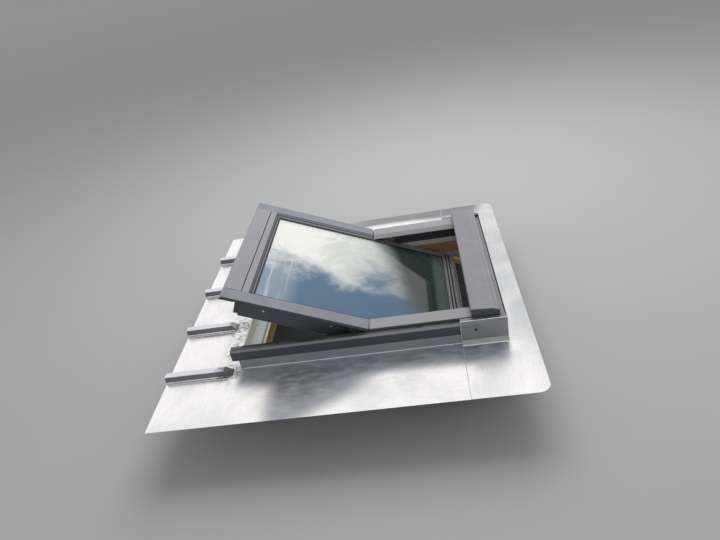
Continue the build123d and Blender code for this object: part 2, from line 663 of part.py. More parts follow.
with BuildPart() as top_rail:
    with BuildSketch(sash_lengthwise(STILE_INNER_X)):
        outline([
            (TOP_LIP_S, GLASS_SEAT - SASH_CHAMFER),
            (TOP_LIP_S - SASH_CHAMFER, GLASS_SEAT),
            (TOP_RAIL_S, GLASS_SEAT),
            (TOP_RAIL_S, SASH_UNDER),
            (TOP_LIP_S - SASH_CHAMFER, SASH_UNDER),
            (TOP_LIP_S, SASH_UNDER + SASH_CHAMFER),
        ])
    extrude(amount=2 * STILE_INNER_X)
    with BuildSketch(sash_lengthwise(REBATE_X)):
        box_section((TOP_RAIL_S, GLASS_SEAT), (REBATE_TOP_S, -SASH_TOP_DROP))
    extrude(amount=2 * REBATE_X)
    with BuildSketch(sash_lengthwise(STILE_INNER_X)):
        box_section((VENT_RAIL_S, SASH_UNDER), (TOP_RAIL_S, -VENT_RAIL_DROP))
    extrude(amount=STILE_INNER_X - VENT_SLOT_HALF_LENGTH)
    with BuildSketch(sash_lengthwise(-VENT_SLOT_HALF_LENGTH)):
        box_section((VENT_RAIL_S, SASH_UNDER), (TOP_RAIL_S, -VENT_RAIL_DROP))
    extrude(amount=STILE_INNER_X - VENT_SLOT_HALF_LENGTH)
save(top_rail.part, "sash_top_rail", OPEN_ANGLE)

with BuildPart() as vent_rail:
    with BuildSketch(sash_lengthwise(STILE_INNER_X)):
        box_section((SASH_TOP_S, SASH_UNDER), (VENT_RAIL_S, -VENT_RAIL_DROP))
        fillet(vertices().group_by(Axis.X)[0], WOOD_ROUND)
    extrude(amount=2 * STILE_INNER_X)
    with BuildSketch(sash_lengthwise(LOCK_CASE_LENGTH / 2)):
        box_section((SASH_TOP_S, -LATCH_DROP - LATCH_HEIGHT / 2 - LOCK_CASE_WALL),
                    (SASH_TOP_S + LOCK_CASE_DEPTH, -LATCH_DROP + LATCH_HEIGHT / 2 + LOCK_CASE_WALL))
    extrude(amount=LOCK_CASE_LENGTH, mode=Mode.SUBTRACT)
save(vent_rail.part, "sash_vent_rail", OPEN_ANGLE)

with BuildPart() as vent_filter:
    with BuildSketch(sash_lengthwise(VENT_SLOT_HALF_LENGTH - FILTER_PLAY)):
        box_section((VENT_RAIL_S + FILTER_PLAY, SASH_UNDER + FILTER_SET_BACK),
                    (TOP_RAIL_S - FILTER_PLAY, -VENT_RAIL_DROP - FILTER_SET_BACK))
    extrude(amount=2 * (VENT_SLOT_HALF_LENGTH - FILTER_PLAY))
save(vent_filter.part, "vent_filter", OPEN_ANGLE)

# Sealed glass unit: two panes, a spacer between them and a gasket on top
with BuildPart() as outer_pane:
    with BuildSketch(sash_face(CAVITY_TOP)):
        box_section((-REBATE_X + GLASS_EDGE_PLAY, -REBATE_BOTTOM_S + GLASS_EDGE_PLAY),
                    (REBATE_X - GLASS_EDGE_PLAY, -REBATE_TOP_S - GLASS_EDGE_PLAY))
    extrude(amount=OUTER_GLASS)
save(outer_pane.part, "outer_pane", OPEN_ANGLE)

with BuildPart() as inner_pane:
    with BuildSketch(sash_face(GLASS_SEAT)):
        box_section((-REBATE_X + GLASS_EDGE_PLAY, -REBATE_BOTTOM_S + GLASS_EDGE_PLAY),
                    (REBATE_X - GLASS_EDGE_PLAY, -REBATE_TOP_S - GLASS_EDGE_PLAY))
    extrude(amount=INNER_GLASS)
save(inner_pane.part, "inner_pane", OPEN_ANGLE)

with BuildPart() as spacer:
    spacer_inset = GLASS_EDGE_PLAY + SPACER_INSET + SPACER_WIDTH
    with BuildSketch(sash_face(CAVITY_BOTTOM)):
        ring(REBATE_X - spacer_inset,
             REBATE_TOP_S + spacer_inset, REBATE_BOTTOM_S - spacer_inset, SPACER_WIDTH)
    extrude(amount=GLASS_CAVITY)
save(spacer.part, "glass_spacer", OPEN_ANGLE)

with BuildPart() as gasket:
    with BuildSketch(sash_face(-SASH_TOP_DROP)):
        ring(SIGHT_X, SIGHT_TOP_S, SIGHT_BOTTOM_S, GASKET_WIDTH)
    extrude(amount=GASKET_HEIGHT)
save(gasket.part, "glazing_gasket", OPEN_ANGLE)

# Sash cladding: side covers, mitred bottom bead, crowned bottom cover, upper trims and top cover
with BuildPart() as sash_cover:
    with BuildSketch(sash_across(COVER_START_S)):
        folded(cover_outline + [(SASH_X + SHEET, -COVER_LIP), (SASH_X + SHEET, -COVER_LEG_DROP)])
    extrude(amount=TIP_S - COVER_START_S)
    for leg_start, leg_length in ((0, HINGE_CLEAR_REACH), (LEG_END_S, TIP_S - LEG_END_S + SHEET)):
        with BuildSketch(sash_across(leg_start)):
            box_section((SASH_X - SHEET, -COVER_LEG_DROP - SHEET), (SASH_X + 2 * SHEET, -COVER_LIP - SHEET))
        extrude(amount=leg_length, mode=Mode.SUBTRACT)
    with BuildSketch(sash_face(-COVER_FOOT_DROP - 2 * SHEET)):
        outline([
            (COVER_FOOT_X - SHEET, -COVER_FOOT_S + SHEET),
            (COVER_FACET_X, -COVER_FOOT_S - COVER_SLOPE),
            (COVER_FACET_X, -TIP_S - SHEET),
            (COVER_FOOT_X - SHEET, -TIP_S - SHEET),
        ])
    extrude(amount=COVER_FOOT_DROP + 3 * SHEET, mode=Mode.SUBTRACT)
    with BuildSketch(sash_lengthwise(COVER_HALF_WIDTH + SHEET)):
        outline([
            (TIP_SHOULDER_S, SHEET),
            (TIP_SHOULDER_S, 0),
            (TIP_S, -TIP_DROP),
            (TIP_S + SHEET, SHEET),
        ])
    extrude(amount=COVER_FACET + 2 * SHEET, mode=Mode.SUBTRACT)
    with BuildSketch(sash_lengthwise(COVER_HALF_WIDTH)):
        outline([
            (TIP_SHOULDER_S, 0),
            (TIP_S, -TIP_DROP),
            (TIP_S, -TIP_LIP),
            (SASH_BOTTOM_REACH + 2 * SHEET, -TIP_LIP),
            (SASH_BOTTOM_REACH + 2 * SHEET, -TIP_LIP + SHEET),
            (TIP_S - SHEET, -TIP_LIP + SHEET),
            (TIP_S - SHEET, -TIP_DROP + SHEET / 2),
            (TIP_SHOULDER_S - SHEET, -SHEET),
            (TIP_SHOULDER_S - SHEET, 0),
        ])
    extrude(amount=COVER_FACET)
    with BuildSketch(sash_lengthwise(SASH_X + 2 * SHEET)):
        with Locations(*[(reach, -SCREW_DROP) for reach in SCREW_REACHES]):
            Circle(SCREW_SHANK_RADIUS + SCREW_PLAY)
    extrude(amount=3 * SHEET, mode=Mode.SUBTRACT)
save_pair(sash_cover.part, "sash_cover", OPEN_ANGLE)

with BuildPart() as bottom_bead:
    with BuildSketch(sash_lengthwise(COVER_FACET_X)):
        folded([
            (COVER_FOOT_S, -COVER_FOOT_DROP),
            (COVER_FOOT_S + COVER_SLOPE, 0),
            (LEG_END_S, 0),
        ])
    extrude(amount=2 * COVER_FACET_X)
    with BuildSketch(sash_face(-COVER_FOOT_DROP - 2 * SHEET)):
        for side in (-1, 1):
            outline([
                (side * (COVER_FOOT_X - SHEET), -COVER_FOOT_S + SHEET),
                (side * (COVER_FACET_X + SHEET), -COVER_FOOT_S + SHEET),
                (side * (COVER_FACET_X + SHEET), -COVER_FOOT_S - COVER_SLOPE - SHEET),
            ])
    extrude(amount=COVER_FOOT_DROP + 3 * SHEET, mode=Mode.SUBTRACT)
save(bottom_bead.part, "sash_bottom_bead", OPEN_ANGLE)

with BuildPart() as bottom_cover:
    with BuildSketch(sash_lengthwise(COVER_FACET_X - COVER_BUTT)):
        folded([
            (TIP_START_S, -TIP_START_DROP),
            (TIP_START_S, 0),
            ((TIP_START_S + TIP_SHOULDER_S) / 2, TIP_CROWN),
            (TIP_SHOULDER_S, 0),
            (TIP_S, -TIP_DROP),
            (TIP_S, -TIP_LIP),
            (SASH_BOTTOM_REACH + SHEET, -TIP_LIP),
            (SASH_BOTTOM_REACH + SHEET, -TIP_LEG_DROP),
        ], bend=TIGHT_BEND)
    extrude(amount=2 * (COVER_FACET_X - COVER_BUTT))
    with BuildSketch(sash_lengthwise(SASH_X + SHEET)):
        box_section((SASH_BOTTOM_REACH, -TIP_LEG_DROP), (SASH_BOTTOM_REACH + SHEET, -TIP_LIP - SHEET))
    extrude(amount=2 * (SASH_X + SHEET))
    for end in (SASH_X + SHEET, -SASH_X):
        with BuildSketch(sash_lengthwise(end)):
            box_section((TIP_START_S, -TAB_DROP), (SASH_BOTTOM_REACH + SHEET, -TIP_LIP - SHEET))
        extrude(amount=SHEET)
save(bottom_cover.part, "sash_bottom_cover", OPEN_ANGLE)

with BuildPart() as sash_trim:
    with BuildSketch(sash_across(SIGHT_TOP_S - SHEET)):
        folded([
            (COVER_FOOT_X, -COVER_FOOT_DROP),
            (COVER_FOOT_X + TRIM_WIDTH, -COVER_FOOT_DROP),
            (COVER_FOOT_X + TRIM_WIDTH, -COVER_FOOT_DROP - TRIM_LIP),
        ], bend=TIGHT_BEND)
    extrude(amount=-SIGHT_TOP_S + SHEET - COVER_START_S)
save_pair(sash_trim.part, "sash_trim", OPEN_ANGLE)

top_cover_start_s = SIGHT_TOP_S - SHEET - FILTER_PLAY

with BuildPart() as top_cover:
    with BuildSketch(sash_lengthwise(COVER_FOOT_X + TRIM_WIDTH)):
        folded([
            (top_cover_start_s, -COVER_FOOT_DROP),
            (-TOP_COVER_STEP_REACH, -COVER_FOOT_DROP),
            (-TOP_COVER_STEP_REACH, -TOP_COVER_LOW_DROP),
            (SASH_TOP_S - SHEET, -TOP_COVER_LOW_DROP),
            (SASH_TOP_S - SHEET, -TOP_COVER_LIP_DROP),
        ], bend=TIGHT_BEND, left=True)
        for k in range(TOP_RIB_COUNT):
            rib_s = top_cover_start_s - TOP_RIB_PITCH * (k + 0.5)
            box_section((rib_s - TOP_RIB_WIDTH, -COVER_FOOT_DROP), (rib_s, -COVER_FOOT_DROP + TOP_RIB_HEIGHT))
    extrude(amount=2 * (COVER_FOOT_X + TRIM_WIDTH))
    with BuildSketch(sash_face(-COVER_FOOT_DROP - 2 * SHEET)):
        with Locations((0, VENT_HOLE_REACH)):
            with GridLocations(VENT_HOLE_PITCH, 0, VENT_HOLE_COUNT, 1):
                SlotOverall(VENT_HOLE_LENGTH, VENT_HOLE_WIDTH)
    extrude(amount=3 * SHEET, mode=Mode.SUBTRACT)
    stile_top_width = COVER_FOOT_X + TRIM_WIDTH - STILE_INNER_X
    for end in (COVER_FOOT_X + TRIM_WIDTH, -STILE_INNER_X):
        with BuildSketch(sash_lengthwise(end)):
            box_section((SASH_TOP_S - 2 * SHEET, -TOP_COVER_LIP_DROP - SHEET),
                        (-TOP_COVER_STEP_REACH + 2 * SHEET, -SASH_TOP_DROP))
        extrude(amount=stile_top_width, mode=Mode.SUBTRACT)
save(top_cover.part, "sash_top_cover", OPEN_ANGLE)

with BuildPart() as cover_screws:
    for side in (-1, 1):
        for reach in SCREW_REACHES:
            seat = Plane(origin=(side * (SASH_X + SHEET), -reach, PIVOT_Z - SCREW_DROP),
                         x_dir=(0, 1, 0), z_dir=(side, 0, 0))
            with BuildSketch(seat):
                Circle(SCREW_HEAD_RADIUS)
            extrude(amount=SCREW_HEAD_HEIGHT, taper=12)
            with BuildSketch(seat):
                Circle(SCREW_SHANK_RADIUS)
            extrude(amount=-SCREW_SHANK_LENGTH)
save(cover_screws.part, "cover_screws", OPEN_ANGLE)

# Arc hinges: a grooved track in the frame, another in the sash and a slider gripped by both
with BuildPart() as frame_track:
    with BuildSketch(lengthwise(SIDE_INNER_X)):
        with Locations((0, PIVOT_Z - TRACK_RADIUS / 2)):
            Rectangle(2 * TRACK_RADIUS, TRACK_RADIUS)
        fillet(vertices().group_by(Axis.Y)[0], TRACK_CORNER)
        with Locations((0, PIVOT_Z)):
            Rectangle(2 * TRACK_RADIUS, 2 * (PIVOT_Z - STEP_Z), mode=Mode.SUBTRACT)
    extrude(amount=TRACK_PLATE)
    with BuildSketch(lengthwise(SIDE_INNER_X)):
        with Locations((0, PIVOT_Z)):
            Circle(ARC_OUTER_RADIUS + ARC_CLEARANCE)
            Circle(ARC_INNER_RADIUS - ARC_CLEARANCE, mode=Mode.SUBTRACT)
    extrude(amount=ARC_GRIP + ARC_CLEARANCE, mode=Mode.SUBTRACT)
save_pair(frame_track.part, "frame_track")

with BuildPart() as sash_track:
    with BuildSketch(sash_lengthwise(SASH_X)):
        with Locations((0, -TRACK_RADIUS / 2)):
            Rectangle(2 * TRACK_RADIUS, TRACK_RADIUS)
        fillet(vertices().group_by(Axis.Y)[0], TRACK_CORNER)
        Rectangle(2 * TRACK_RADIUS, 2 * SASH_TOP_DROP, mode=Mode.SUBTRACT)
    extrude(amount=TRACK_PLATE)
    with BuildSketch(sash_lengthwise(SASH_X)):
        Circle(ARC_OUTER_RADIUS + ARC_CLEARANCE)
        Circle(ARC_INNER_RADIUS - ARC_CLEARANCE, mode=Mode.SUBTRACT)
    extrude(amount=ARC_GRIP + ARC_CLEARANCE, mode=Mode.SUBTRACT)
save_pair(sash_track.part, "sash_track", OPEN_ANGLE)

slider_inner_x = SASH_X - ARC_GRIP
slider_outer_x = SIDE_INNER_X + ARC_GRIP
slider_start = ARC_LOWEST - ARC_SPAN / 2

with BuildPart() as hinge_slider:
    with BuildSketch(lengthwise(slider_inner_x)):
        with BuildLine() as arc:
            outer = CenterArc((0, PIVOT_Z), ARC_OUTER_RADIUS, slider_start, ARC_SPAN)
            inner = CenterArc((0, PIVOT_Z), ARC_INNER_RADIUS, slider_start, ARC_SPAN)
            Line(outer @ 0, inner @ 0)
            Line(outer @ 1, inner @ 1)
        make_face(arc.edges())
    extrude(amount=slider_outer_x - slider_inner_x)
    web_radius = (ARC_OUTER_RADIUS + ARC_INNER_RADIUS) / 2
    with BuildSketch(lengthwise(slider_outer_x)):
        with Locations((0, PIVOT_Z)):
            Circle(web_radius + ARC_WEB_RADIUS)
            Circle(web_radius - ARC_WEB_RADIUS, mode=Mode.SUBTRACT)
    extrude(amount=-ARC_WEB_DEPTH, mode=Mode.SUBTRACT)
save_pair(hinge_slider.part, "hinge_slider", OPEN_ANGLE / 2)

# Ventilation flap with the control bar under it, opened about its own pins
with BuildPart() as vent_flap:
    with BuildSketch(sash_lengthwise(FLAP_LENGTH / 2)):
        box_section((-FLAP_AXIS_REACH, FLAP_UNDER), (FLAP_EDGE_S, FLAP_UNDER + FLAP_THICKNESS))
        fillet(vertices().group_by(Axis.X)[-1], WOOD_ROUND)
        with Locations((-FLAP_AXIS_REACH, FLAP_AXIS_H)):
            Circle(FLAP_THICKNESS / 2)
    extrude(amount=FLAP_LENGTH)
    with BuildSketch(sash_lengthwise(FLAP_LENGTH / 2 + FLAP_PIN_LENGTH)):
        with Locations((-FLAP_AXIS_REACH, FLAP_AXIS_H)):
            Circle(FLAP_PIN_RADIUS)
    extrude(amount=FLAP_LENGTH + 2 * FLAP_PIN_LENGTH)
save(vent_flap.part.rotate(FLAP_AXIS, FLAP_OPEN), "vent_flap", OPEN_ANGLE)

with BuildPart() as control_bar:
    with BuildSketch(sash_lengthwise(BAR_LENGTH / 2)):
        with Locations((BAR_S, BAR_H)):
            Ellipse(BAR_WIDTH / 2, BAR_HEIGHT / 2)
    extrude(amount=BAR_LENGTH)
    for foot_x in (-BAR_FOOT_X, BAR_FOOT_X):
        with BuildSketch(sash_lengthwise(foot_x + BAR_FOOT_LENGTH / 2)):
            box_section((BAR_S - BAR_FOOT_WIDTH / 2, BAR_H), (BAR_S + BAR_FOOT_WIDTH / 2, FLAP_UNDER))
        extrude(amount=BAR_FOOT_LENGTH)
save(control_bar.part.rotate(FLAP_AXIS, FLAP_OPEN), "control_bar", OPEN_ANGLE)

with BuildPart() as flap_brackets:
    for side in (-1, 1):
        inner_x = side * (FLAP_LENGTH / 2 + FLAP_BRACKET_PLAY)
        bracket_plane = Plane(origin=(inner_x, 0, PIVOT_Z), x_dir=(0, -1, 0), z_dir=(-1, 0, 0))
        with BuildSketch(bracket_plane):
            box_section((-FLAP_AXIS_REACH - FLAP_THICKNESS / 2, FLAP_UNDER),
                        (-FLAP_AXIS_REACH + FLAP_THICKNESS / 2, SASH_UNDER))
            with Locations((-FLAP_AXIS_REACH, FLAP_AXIS_H)):
                Circle(FLAP_PIN_RADIUS + FLAP_PIN_PLAY, mode=Mode.SUBTRACT)
        extrude(amount=-side * FLAP_BRACKET)
save(flap_brackets.part, "flap_brackets", OPEN_ANGLE)

# Lock case with its sprung latch drawn back, and the strike in the frame head
with BuildPart() as lock_case:
    with BuildSketch(sash_lengthwise(LOCK_CASE_LENGTH / 2)):
        box_section((SASH_TOP_S, LATCH_BOTTOM - LOCK_CASE_WALL),
                    (SASH_TOP_S + LOCK_CASE_DEPTH, LATCH_TOP + LOCK_CASE_WALL))
    extrude(amount=LOCK_CASE_LENGTH)
    with BuildSketch(sash_lengthwise(LATCH_WIDTH / 2 + LATCH_PLAY)):
        box_section((SASH_TOP_S, LATCH_BOTTOM - LATCH_PLAY),
                    (SASH_TOP_S + LATCH_LENGTH + LATCH_PLAY, LATCH_TOP + LATCH_PLAY))
    extrude(amount=LATCH_WIDTH + 2 * LATCH_PLAY, mode=Mode.SUBTRACT)
save(lock_case.part, "lock_case", OPEN_ANGLE)

with BuildPart() as latch:
    with BuildSketch(sash_lengthwise(LATCH_WIDTH / 2)):
        outline([
            (SASH_TOP_S, LATCH_TOP),
            (SASH_TOP_S + LATCH_LENGTH, LATCH_TOP),
            (SASH_TOP_S + LATCH_LENGTH, LATCH_BOTTOM),
            (SASH_TOP_S + LATCH_BEVEL, LATCH_BOTTOM),
            (SASH_TOP_S, LATCH_BOTTOM + LATCH_BEVEL),
        ])
    extrude(amount=LATCH_WIDTH)
save(latch.part, "lock_latch", OPEN_ANGLE)

with BuildPart() as strike:
    with BuildSketch(across(HEAD_INNER_Y)):
        with Locations((0, PIVOT_Z - LATCH_DROP)):
            Rectangle(STRIKE_LENGTH, STRIKE_HEIGHT)
            Rectangle(LATCH_WIDTH + 2 * STRIKE_PLAY, LATCH_HEIGHT + 2 * STRIKE_PLAY, mode=Mode.SUBTRACT)
    extrude(amount=STRIKE_PLATE)
    fillet(edges().filter_by(Axis.Y).group_by(Axis.X)[0] + edges().filter_by(Axis.Y).group_by(Axis.X)[-1],
           WOOD_ROUND)
save(strike.part, "lock_strike")

# Barrel bolt, its case on the right stile and two bushes in the frame
bolt_end_x = SASH_X - BOLT_SET_BACK
knob_x = bolt_end_x - BOLT_LENGTH + KNOB_FROM_END

with BuildPart() as barrel_bolt:
    with BuildSketch(sash_lengthwise(bolt_end_x)):
        with Locations((-BOLT_REACH, -BOLT_DROP)):
            Circle(BOLT_RADIUS)
    extrude(amount=BOLT_LENGTH)
    chamfer(edges().filter_by(GeomType.CIRCLE).group_by(Axis.X)[-1], BOLT_RADIUS / 4)
    with BuildSketch(sash_face(-BOLT_DROP)):
        with Locations((knob_x, BOLT_REACH)):
            Circle(KNOB_RADIUS)
    extrude(amount=-KNOB_LENGTH)
save(barrel_bolt.part, "barrel_bolt", OPEN_ANGLE)

with BuildPart() as bolt_case:
    with BuildSketch(sash_lengthwise(bolt_end_x)):
        box_section((-BOLT_REACH - BOLT_CASE_WIDTH / 2, SASH_UNDER - BOLT_CASE_HEIGHT),
                    (-BOLT_REACH + BOLT_CASE_WIDTH / 2, SASH_UNDER))
        fillet(vertices().group_by(Axis.Y)[0], WOOD_ROUND)
        with Locations((-BOLT_REACH, -BOLT_DROP)):
            Circle(BOLT_RADIUS + BOLT_PLAY, mode=Mode.SUBTRACT)
    extrude(amount=BOLT_CASE_LENGTH)
    with BuildSketch(sash_face(-BOLT_DROP)):
        with Locations((knob_x + BOLT_TRAVEL / 2, BOLT_REACH)):
            Rectangle(BOLT_TRAVEL + 2 * (KNOB_RADIUS + KNOB_PLAY), 2 * (KNOB_RADIUS + KNOB_PLAY))
    extrude(amount=-BOLT_CASE_HEIGHT, mode=Mode.SUBTRACT)
save(bolt_case.part, "bolt_case", OPEN_ANGLE)

with BuildPart() as bushes:
    with BuildSketch(lengthwise(SIDE_INNER_X)):
        with Locations(*bolt_places):
            Circle(BOLT_RADIUS + BUSH_PLAY + BUSH_WALL)
            Circle(BOLT_RADIUS + BUSH_PLAY, mode=Mode.SUBTRACT)
    extrude(amount=BUSH_DEPTH)
save(bushes.part, "bolt_bushes")

# Mounting brackets: folded steel angles on the outer faces of the side members
bracket_z = SILL_TOP_Z - BRACKET_FOOT_DROP
for place, bracket_y in BRACKET_PLACES:
    with BuildPart() as bracket:
        with BuildSketch(across(bracket_y + BRACKET_WIDTH / 2)):
            folded([
                (SIDE_X, bracket_z + BRACKET_LEG),
                (SIDE_X, bracket_z),
                (SIDE_X + BRACKET_FOOT, bracket_z),
            ], thickness=BRACKET_SHEET, bend=BRACKET_BEND, left=True)
        extrude(amount=BRACKET_WIDTH)
        with BuildSketch(Plane.XY.offset(bracket_z)):
            with Locations((BRACKET_HOLE_X, bracket_y)):
                with GridLocations(BRACKET_HOLE_SPACING, 0, 2, 1):
                    Circle(BRACKET_HOLE_RADIUS)
        extrude(amount=BRACKET_SHEET, mode=Mode.SUBTRACT)
        with BuildSketch(lengthwise(SIDE_X)):
            with Locations((bracket_y, BRACKET_LEG_HOLE_Z)):
                with GridLocations(BRACKET_HOLE_SPACING, 0, 2, 1):
                    Circle(BRACKET_HOLE_RADIUS)
        extrude(amount=BRACKET_SHEET, mode=Mode.SUBTRACT)
    save_pair(bracket.part, f"bracket_{place}")

# Zinc collar: apron below the sill, side strips, and a head piece with boxed corners
with BuildPart() as apron:
    with BuildSketch(Plane.XY):
        box_section((-COLLAR_HALF_WIDTH, COLLAR_BOTTOM_Y), (COLLAR_HALF_WIDTH, APRON_Y))
    extrude(amount=ZINC)
    with BuildSketch(lengthwise(-UPSTAND_X - ZINC)):
        box_section((APRON_Y - ZINC, 0), (APRON_Y, APRON_UPSTAND))
    extrude(amount=2 * (UPSTAND_X + ZINC))
save(apron.part, "flashing_apron")

with BuildPart() as side_strip:
    with BuildSketch(across(HEAD_JOINT_Y)):
        folded([
            (UPSTAND_X, SIDE_UPSTAND),
            (UPSTAND_X, 0),
            (COLLAR_HALF_WIDTH, 0),
        ], thickness=ZINC, bend=ZINC_BEND, left=True)
    extrude(amount=HEAD_JOINT_Y - APRON_Y)
save_pair(side_strip.part, "flashing")

with BuildPart() as head_flashing:
    with BuildSketch(across(BACK_WALL_Y)):
        for side in (-1, 1):
            folded([
                (side * (BOX_X - BOX_FLANGE), BOX_TOP_Z),
                (side * BOX_X, BOX_TOP_Z),
                (side * BOX_X, BOX_FOOT),
                (side * (BOX_X + BOX_FOOT), HEAD_ZINC),
                (side * COLLAR_HALF_WIDTH, HEAD_ZINC),
            ], thickness=HEAD_ZINC, bend=ZINC_BEND, left=side < 0)
    extrude(amount=BACK_WALL_Y - HEAD_JOINT_Y)
    with BuildSketch(lengthwise(-BOX_X)):
        box_section((BACK_WALL_Y - HEAD_ZINC, 0), (BACK_WALL_Y, BOX_TOP_Z - BACK_WALL_TOP_DROP))
    extrude(amount=2 * BOX_X)
    with BuildSketch(Plane.XY):
        box_section((-COLLAR_HALF_WIDTH, BACK_WALL_Y - HEAD_ZINC), (COLLAR_HALF_WIDTH, COLLAR_TOP_Y))
        fillet(vertices().group_by(Axis.Y)[-1], COLLAR_CORNER)
        with Locations((EDGE_NOTCH_X, COLLAR_TOP_Y)):
            Circle(EDGE_NOTCH / 2, mode=Mode.SUBTRACT)
    extrude(amount=HEAD_ZINC)
    with BuildSketch(lengthwise(-BOX_X - HEAD_ZINC)):
        with Locations((HEAD_JOINT_Y + BOX_SLIT_LENGTH / 2, BOX_SLIT_Z)):
            Rectangle(BOX_SLIT_LENGTH, BOX_SLIT)
        with Locations((HEAD_JOINT_Y + BOX_HOLE_FROM_JOINT, BOX_HOLE_Z)):
            Rectangle(BOX_HOLE, BOX_HOLE)
    extrude(amount=2 * (BOX_X + HEAD_ZINC), mode=Mode.SUBTRACT)
save(head_flashing.part, "flashing_head")

for k, rib_length in enumerate(RIB_LENGTHS):
    rib_x = RIB_FIRST_X - k * RIB_PITCH
    rib_low_y = COLLAR_BOTTOM_Y - RIB_OVERHANG
    rib_high_y = COLLAR_BOTTOM_Y + rib_length
    with BuildPart() as rib:
        with BuildSketch(across(rib_high_y)):
            outline([
                (rib_x - RIB_BASE / 2, ZINC),
                (rib_x - RIB_TOP / 2, ZINC + RIB_HEIGHT),
                (rib_x + RIB_TOP / 2, ZINC + RIB_HEIGHT),
                (rib_x + RIB_BASE / 2, ZINC),
            ])
            fillet(vertices().group_by(Axis.Y)[-1], RIB_ROUND)
        extrude(amount=rib_high_y - rib_low_y)
        with BuildSketch(lengthwise(rib_x - RIB_BASE)):
            outline([
                (rib_high_y, ZINC),
                (rib_high_y, 2 * RIB_HEIGHT),
                (rib_high_y - 2 * RIB_HIP, 2 * RIB_HEIGHT),
            ])
        extrude(amount=2 * RIB_BASE, mode=Mode.SUBTRACT)
        offset(amount=-ZINC, openings=[faces().sort_by(Axis.Y)[0], faces().sort_by(Axis.Z)[0]])
        with BuildSketch(Plane.XY.offset(ZINC)):
            for side in (-1, 1):
                box_section((rib_x + side * (RIB_BASE / 2 - ZINC / 2), rib_low_y + RIB_OVERHANG),
                            (rib_x + side * (RIB_BASE / 2 + RIB_FLANGE), rib_high_y))
        extrude(amount=ZINC / 2)
    save(rib.part, f"rib_cover_{k + 1}")
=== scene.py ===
"""Finishes, small parts, light and camera for a centre-pivot roof window with its zinc collar."""

import logging
import math
from collections.abc import Callable, Iterable
from dataclasses import dataclass
from enum import Enum
from typing import ClassVar, Self

import bmesh
import bpy
from mathutils import Matrix, Vector


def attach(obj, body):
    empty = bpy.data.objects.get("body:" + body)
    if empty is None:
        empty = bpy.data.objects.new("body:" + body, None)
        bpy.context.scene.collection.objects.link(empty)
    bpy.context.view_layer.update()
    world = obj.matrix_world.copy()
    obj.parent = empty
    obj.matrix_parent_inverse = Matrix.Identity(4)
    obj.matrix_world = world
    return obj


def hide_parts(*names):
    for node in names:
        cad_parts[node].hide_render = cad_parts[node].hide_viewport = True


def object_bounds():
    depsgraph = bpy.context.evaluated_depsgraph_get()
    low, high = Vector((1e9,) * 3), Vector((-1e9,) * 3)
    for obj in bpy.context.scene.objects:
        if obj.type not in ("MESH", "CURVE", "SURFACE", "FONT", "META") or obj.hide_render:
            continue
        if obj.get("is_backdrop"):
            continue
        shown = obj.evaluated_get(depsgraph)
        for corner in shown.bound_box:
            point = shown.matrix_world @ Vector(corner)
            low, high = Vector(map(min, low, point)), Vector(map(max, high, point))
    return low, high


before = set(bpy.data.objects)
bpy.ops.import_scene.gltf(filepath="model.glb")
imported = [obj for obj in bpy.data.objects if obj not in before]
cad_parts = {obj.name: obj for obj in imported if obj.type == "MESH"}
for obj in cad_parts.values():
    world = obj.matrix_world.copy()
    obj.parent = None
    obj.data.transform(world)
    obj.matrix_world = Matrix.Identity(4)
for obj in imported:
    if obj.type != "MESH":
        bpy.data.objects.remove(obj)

MM = 0.001
OPEN_ANGLE = math.radians(24.0)
PIVOT_Z = 0.1
SIDES = (("left", -1), ("right", 1))

# Out of the roof, in from the right side, the cosine from which a face faces a way, and the
# angle up to which solder is smooth.
OUT = (0, 0, 1)
IN = (-1, 0, 0)
FACING = 0.9
ROUND = 60.0

Colour = tuple[float, float, float]
Point = tuple[float, float, float]
Pair = tuple[float, float]
Ends = tuple[Point, Point]
Tones = tuple[Colour, Colour]

logging.basicConfig(level=logging.INFO, format="%(message)s")
log = logging.getLogger("roof window")


# Shader building


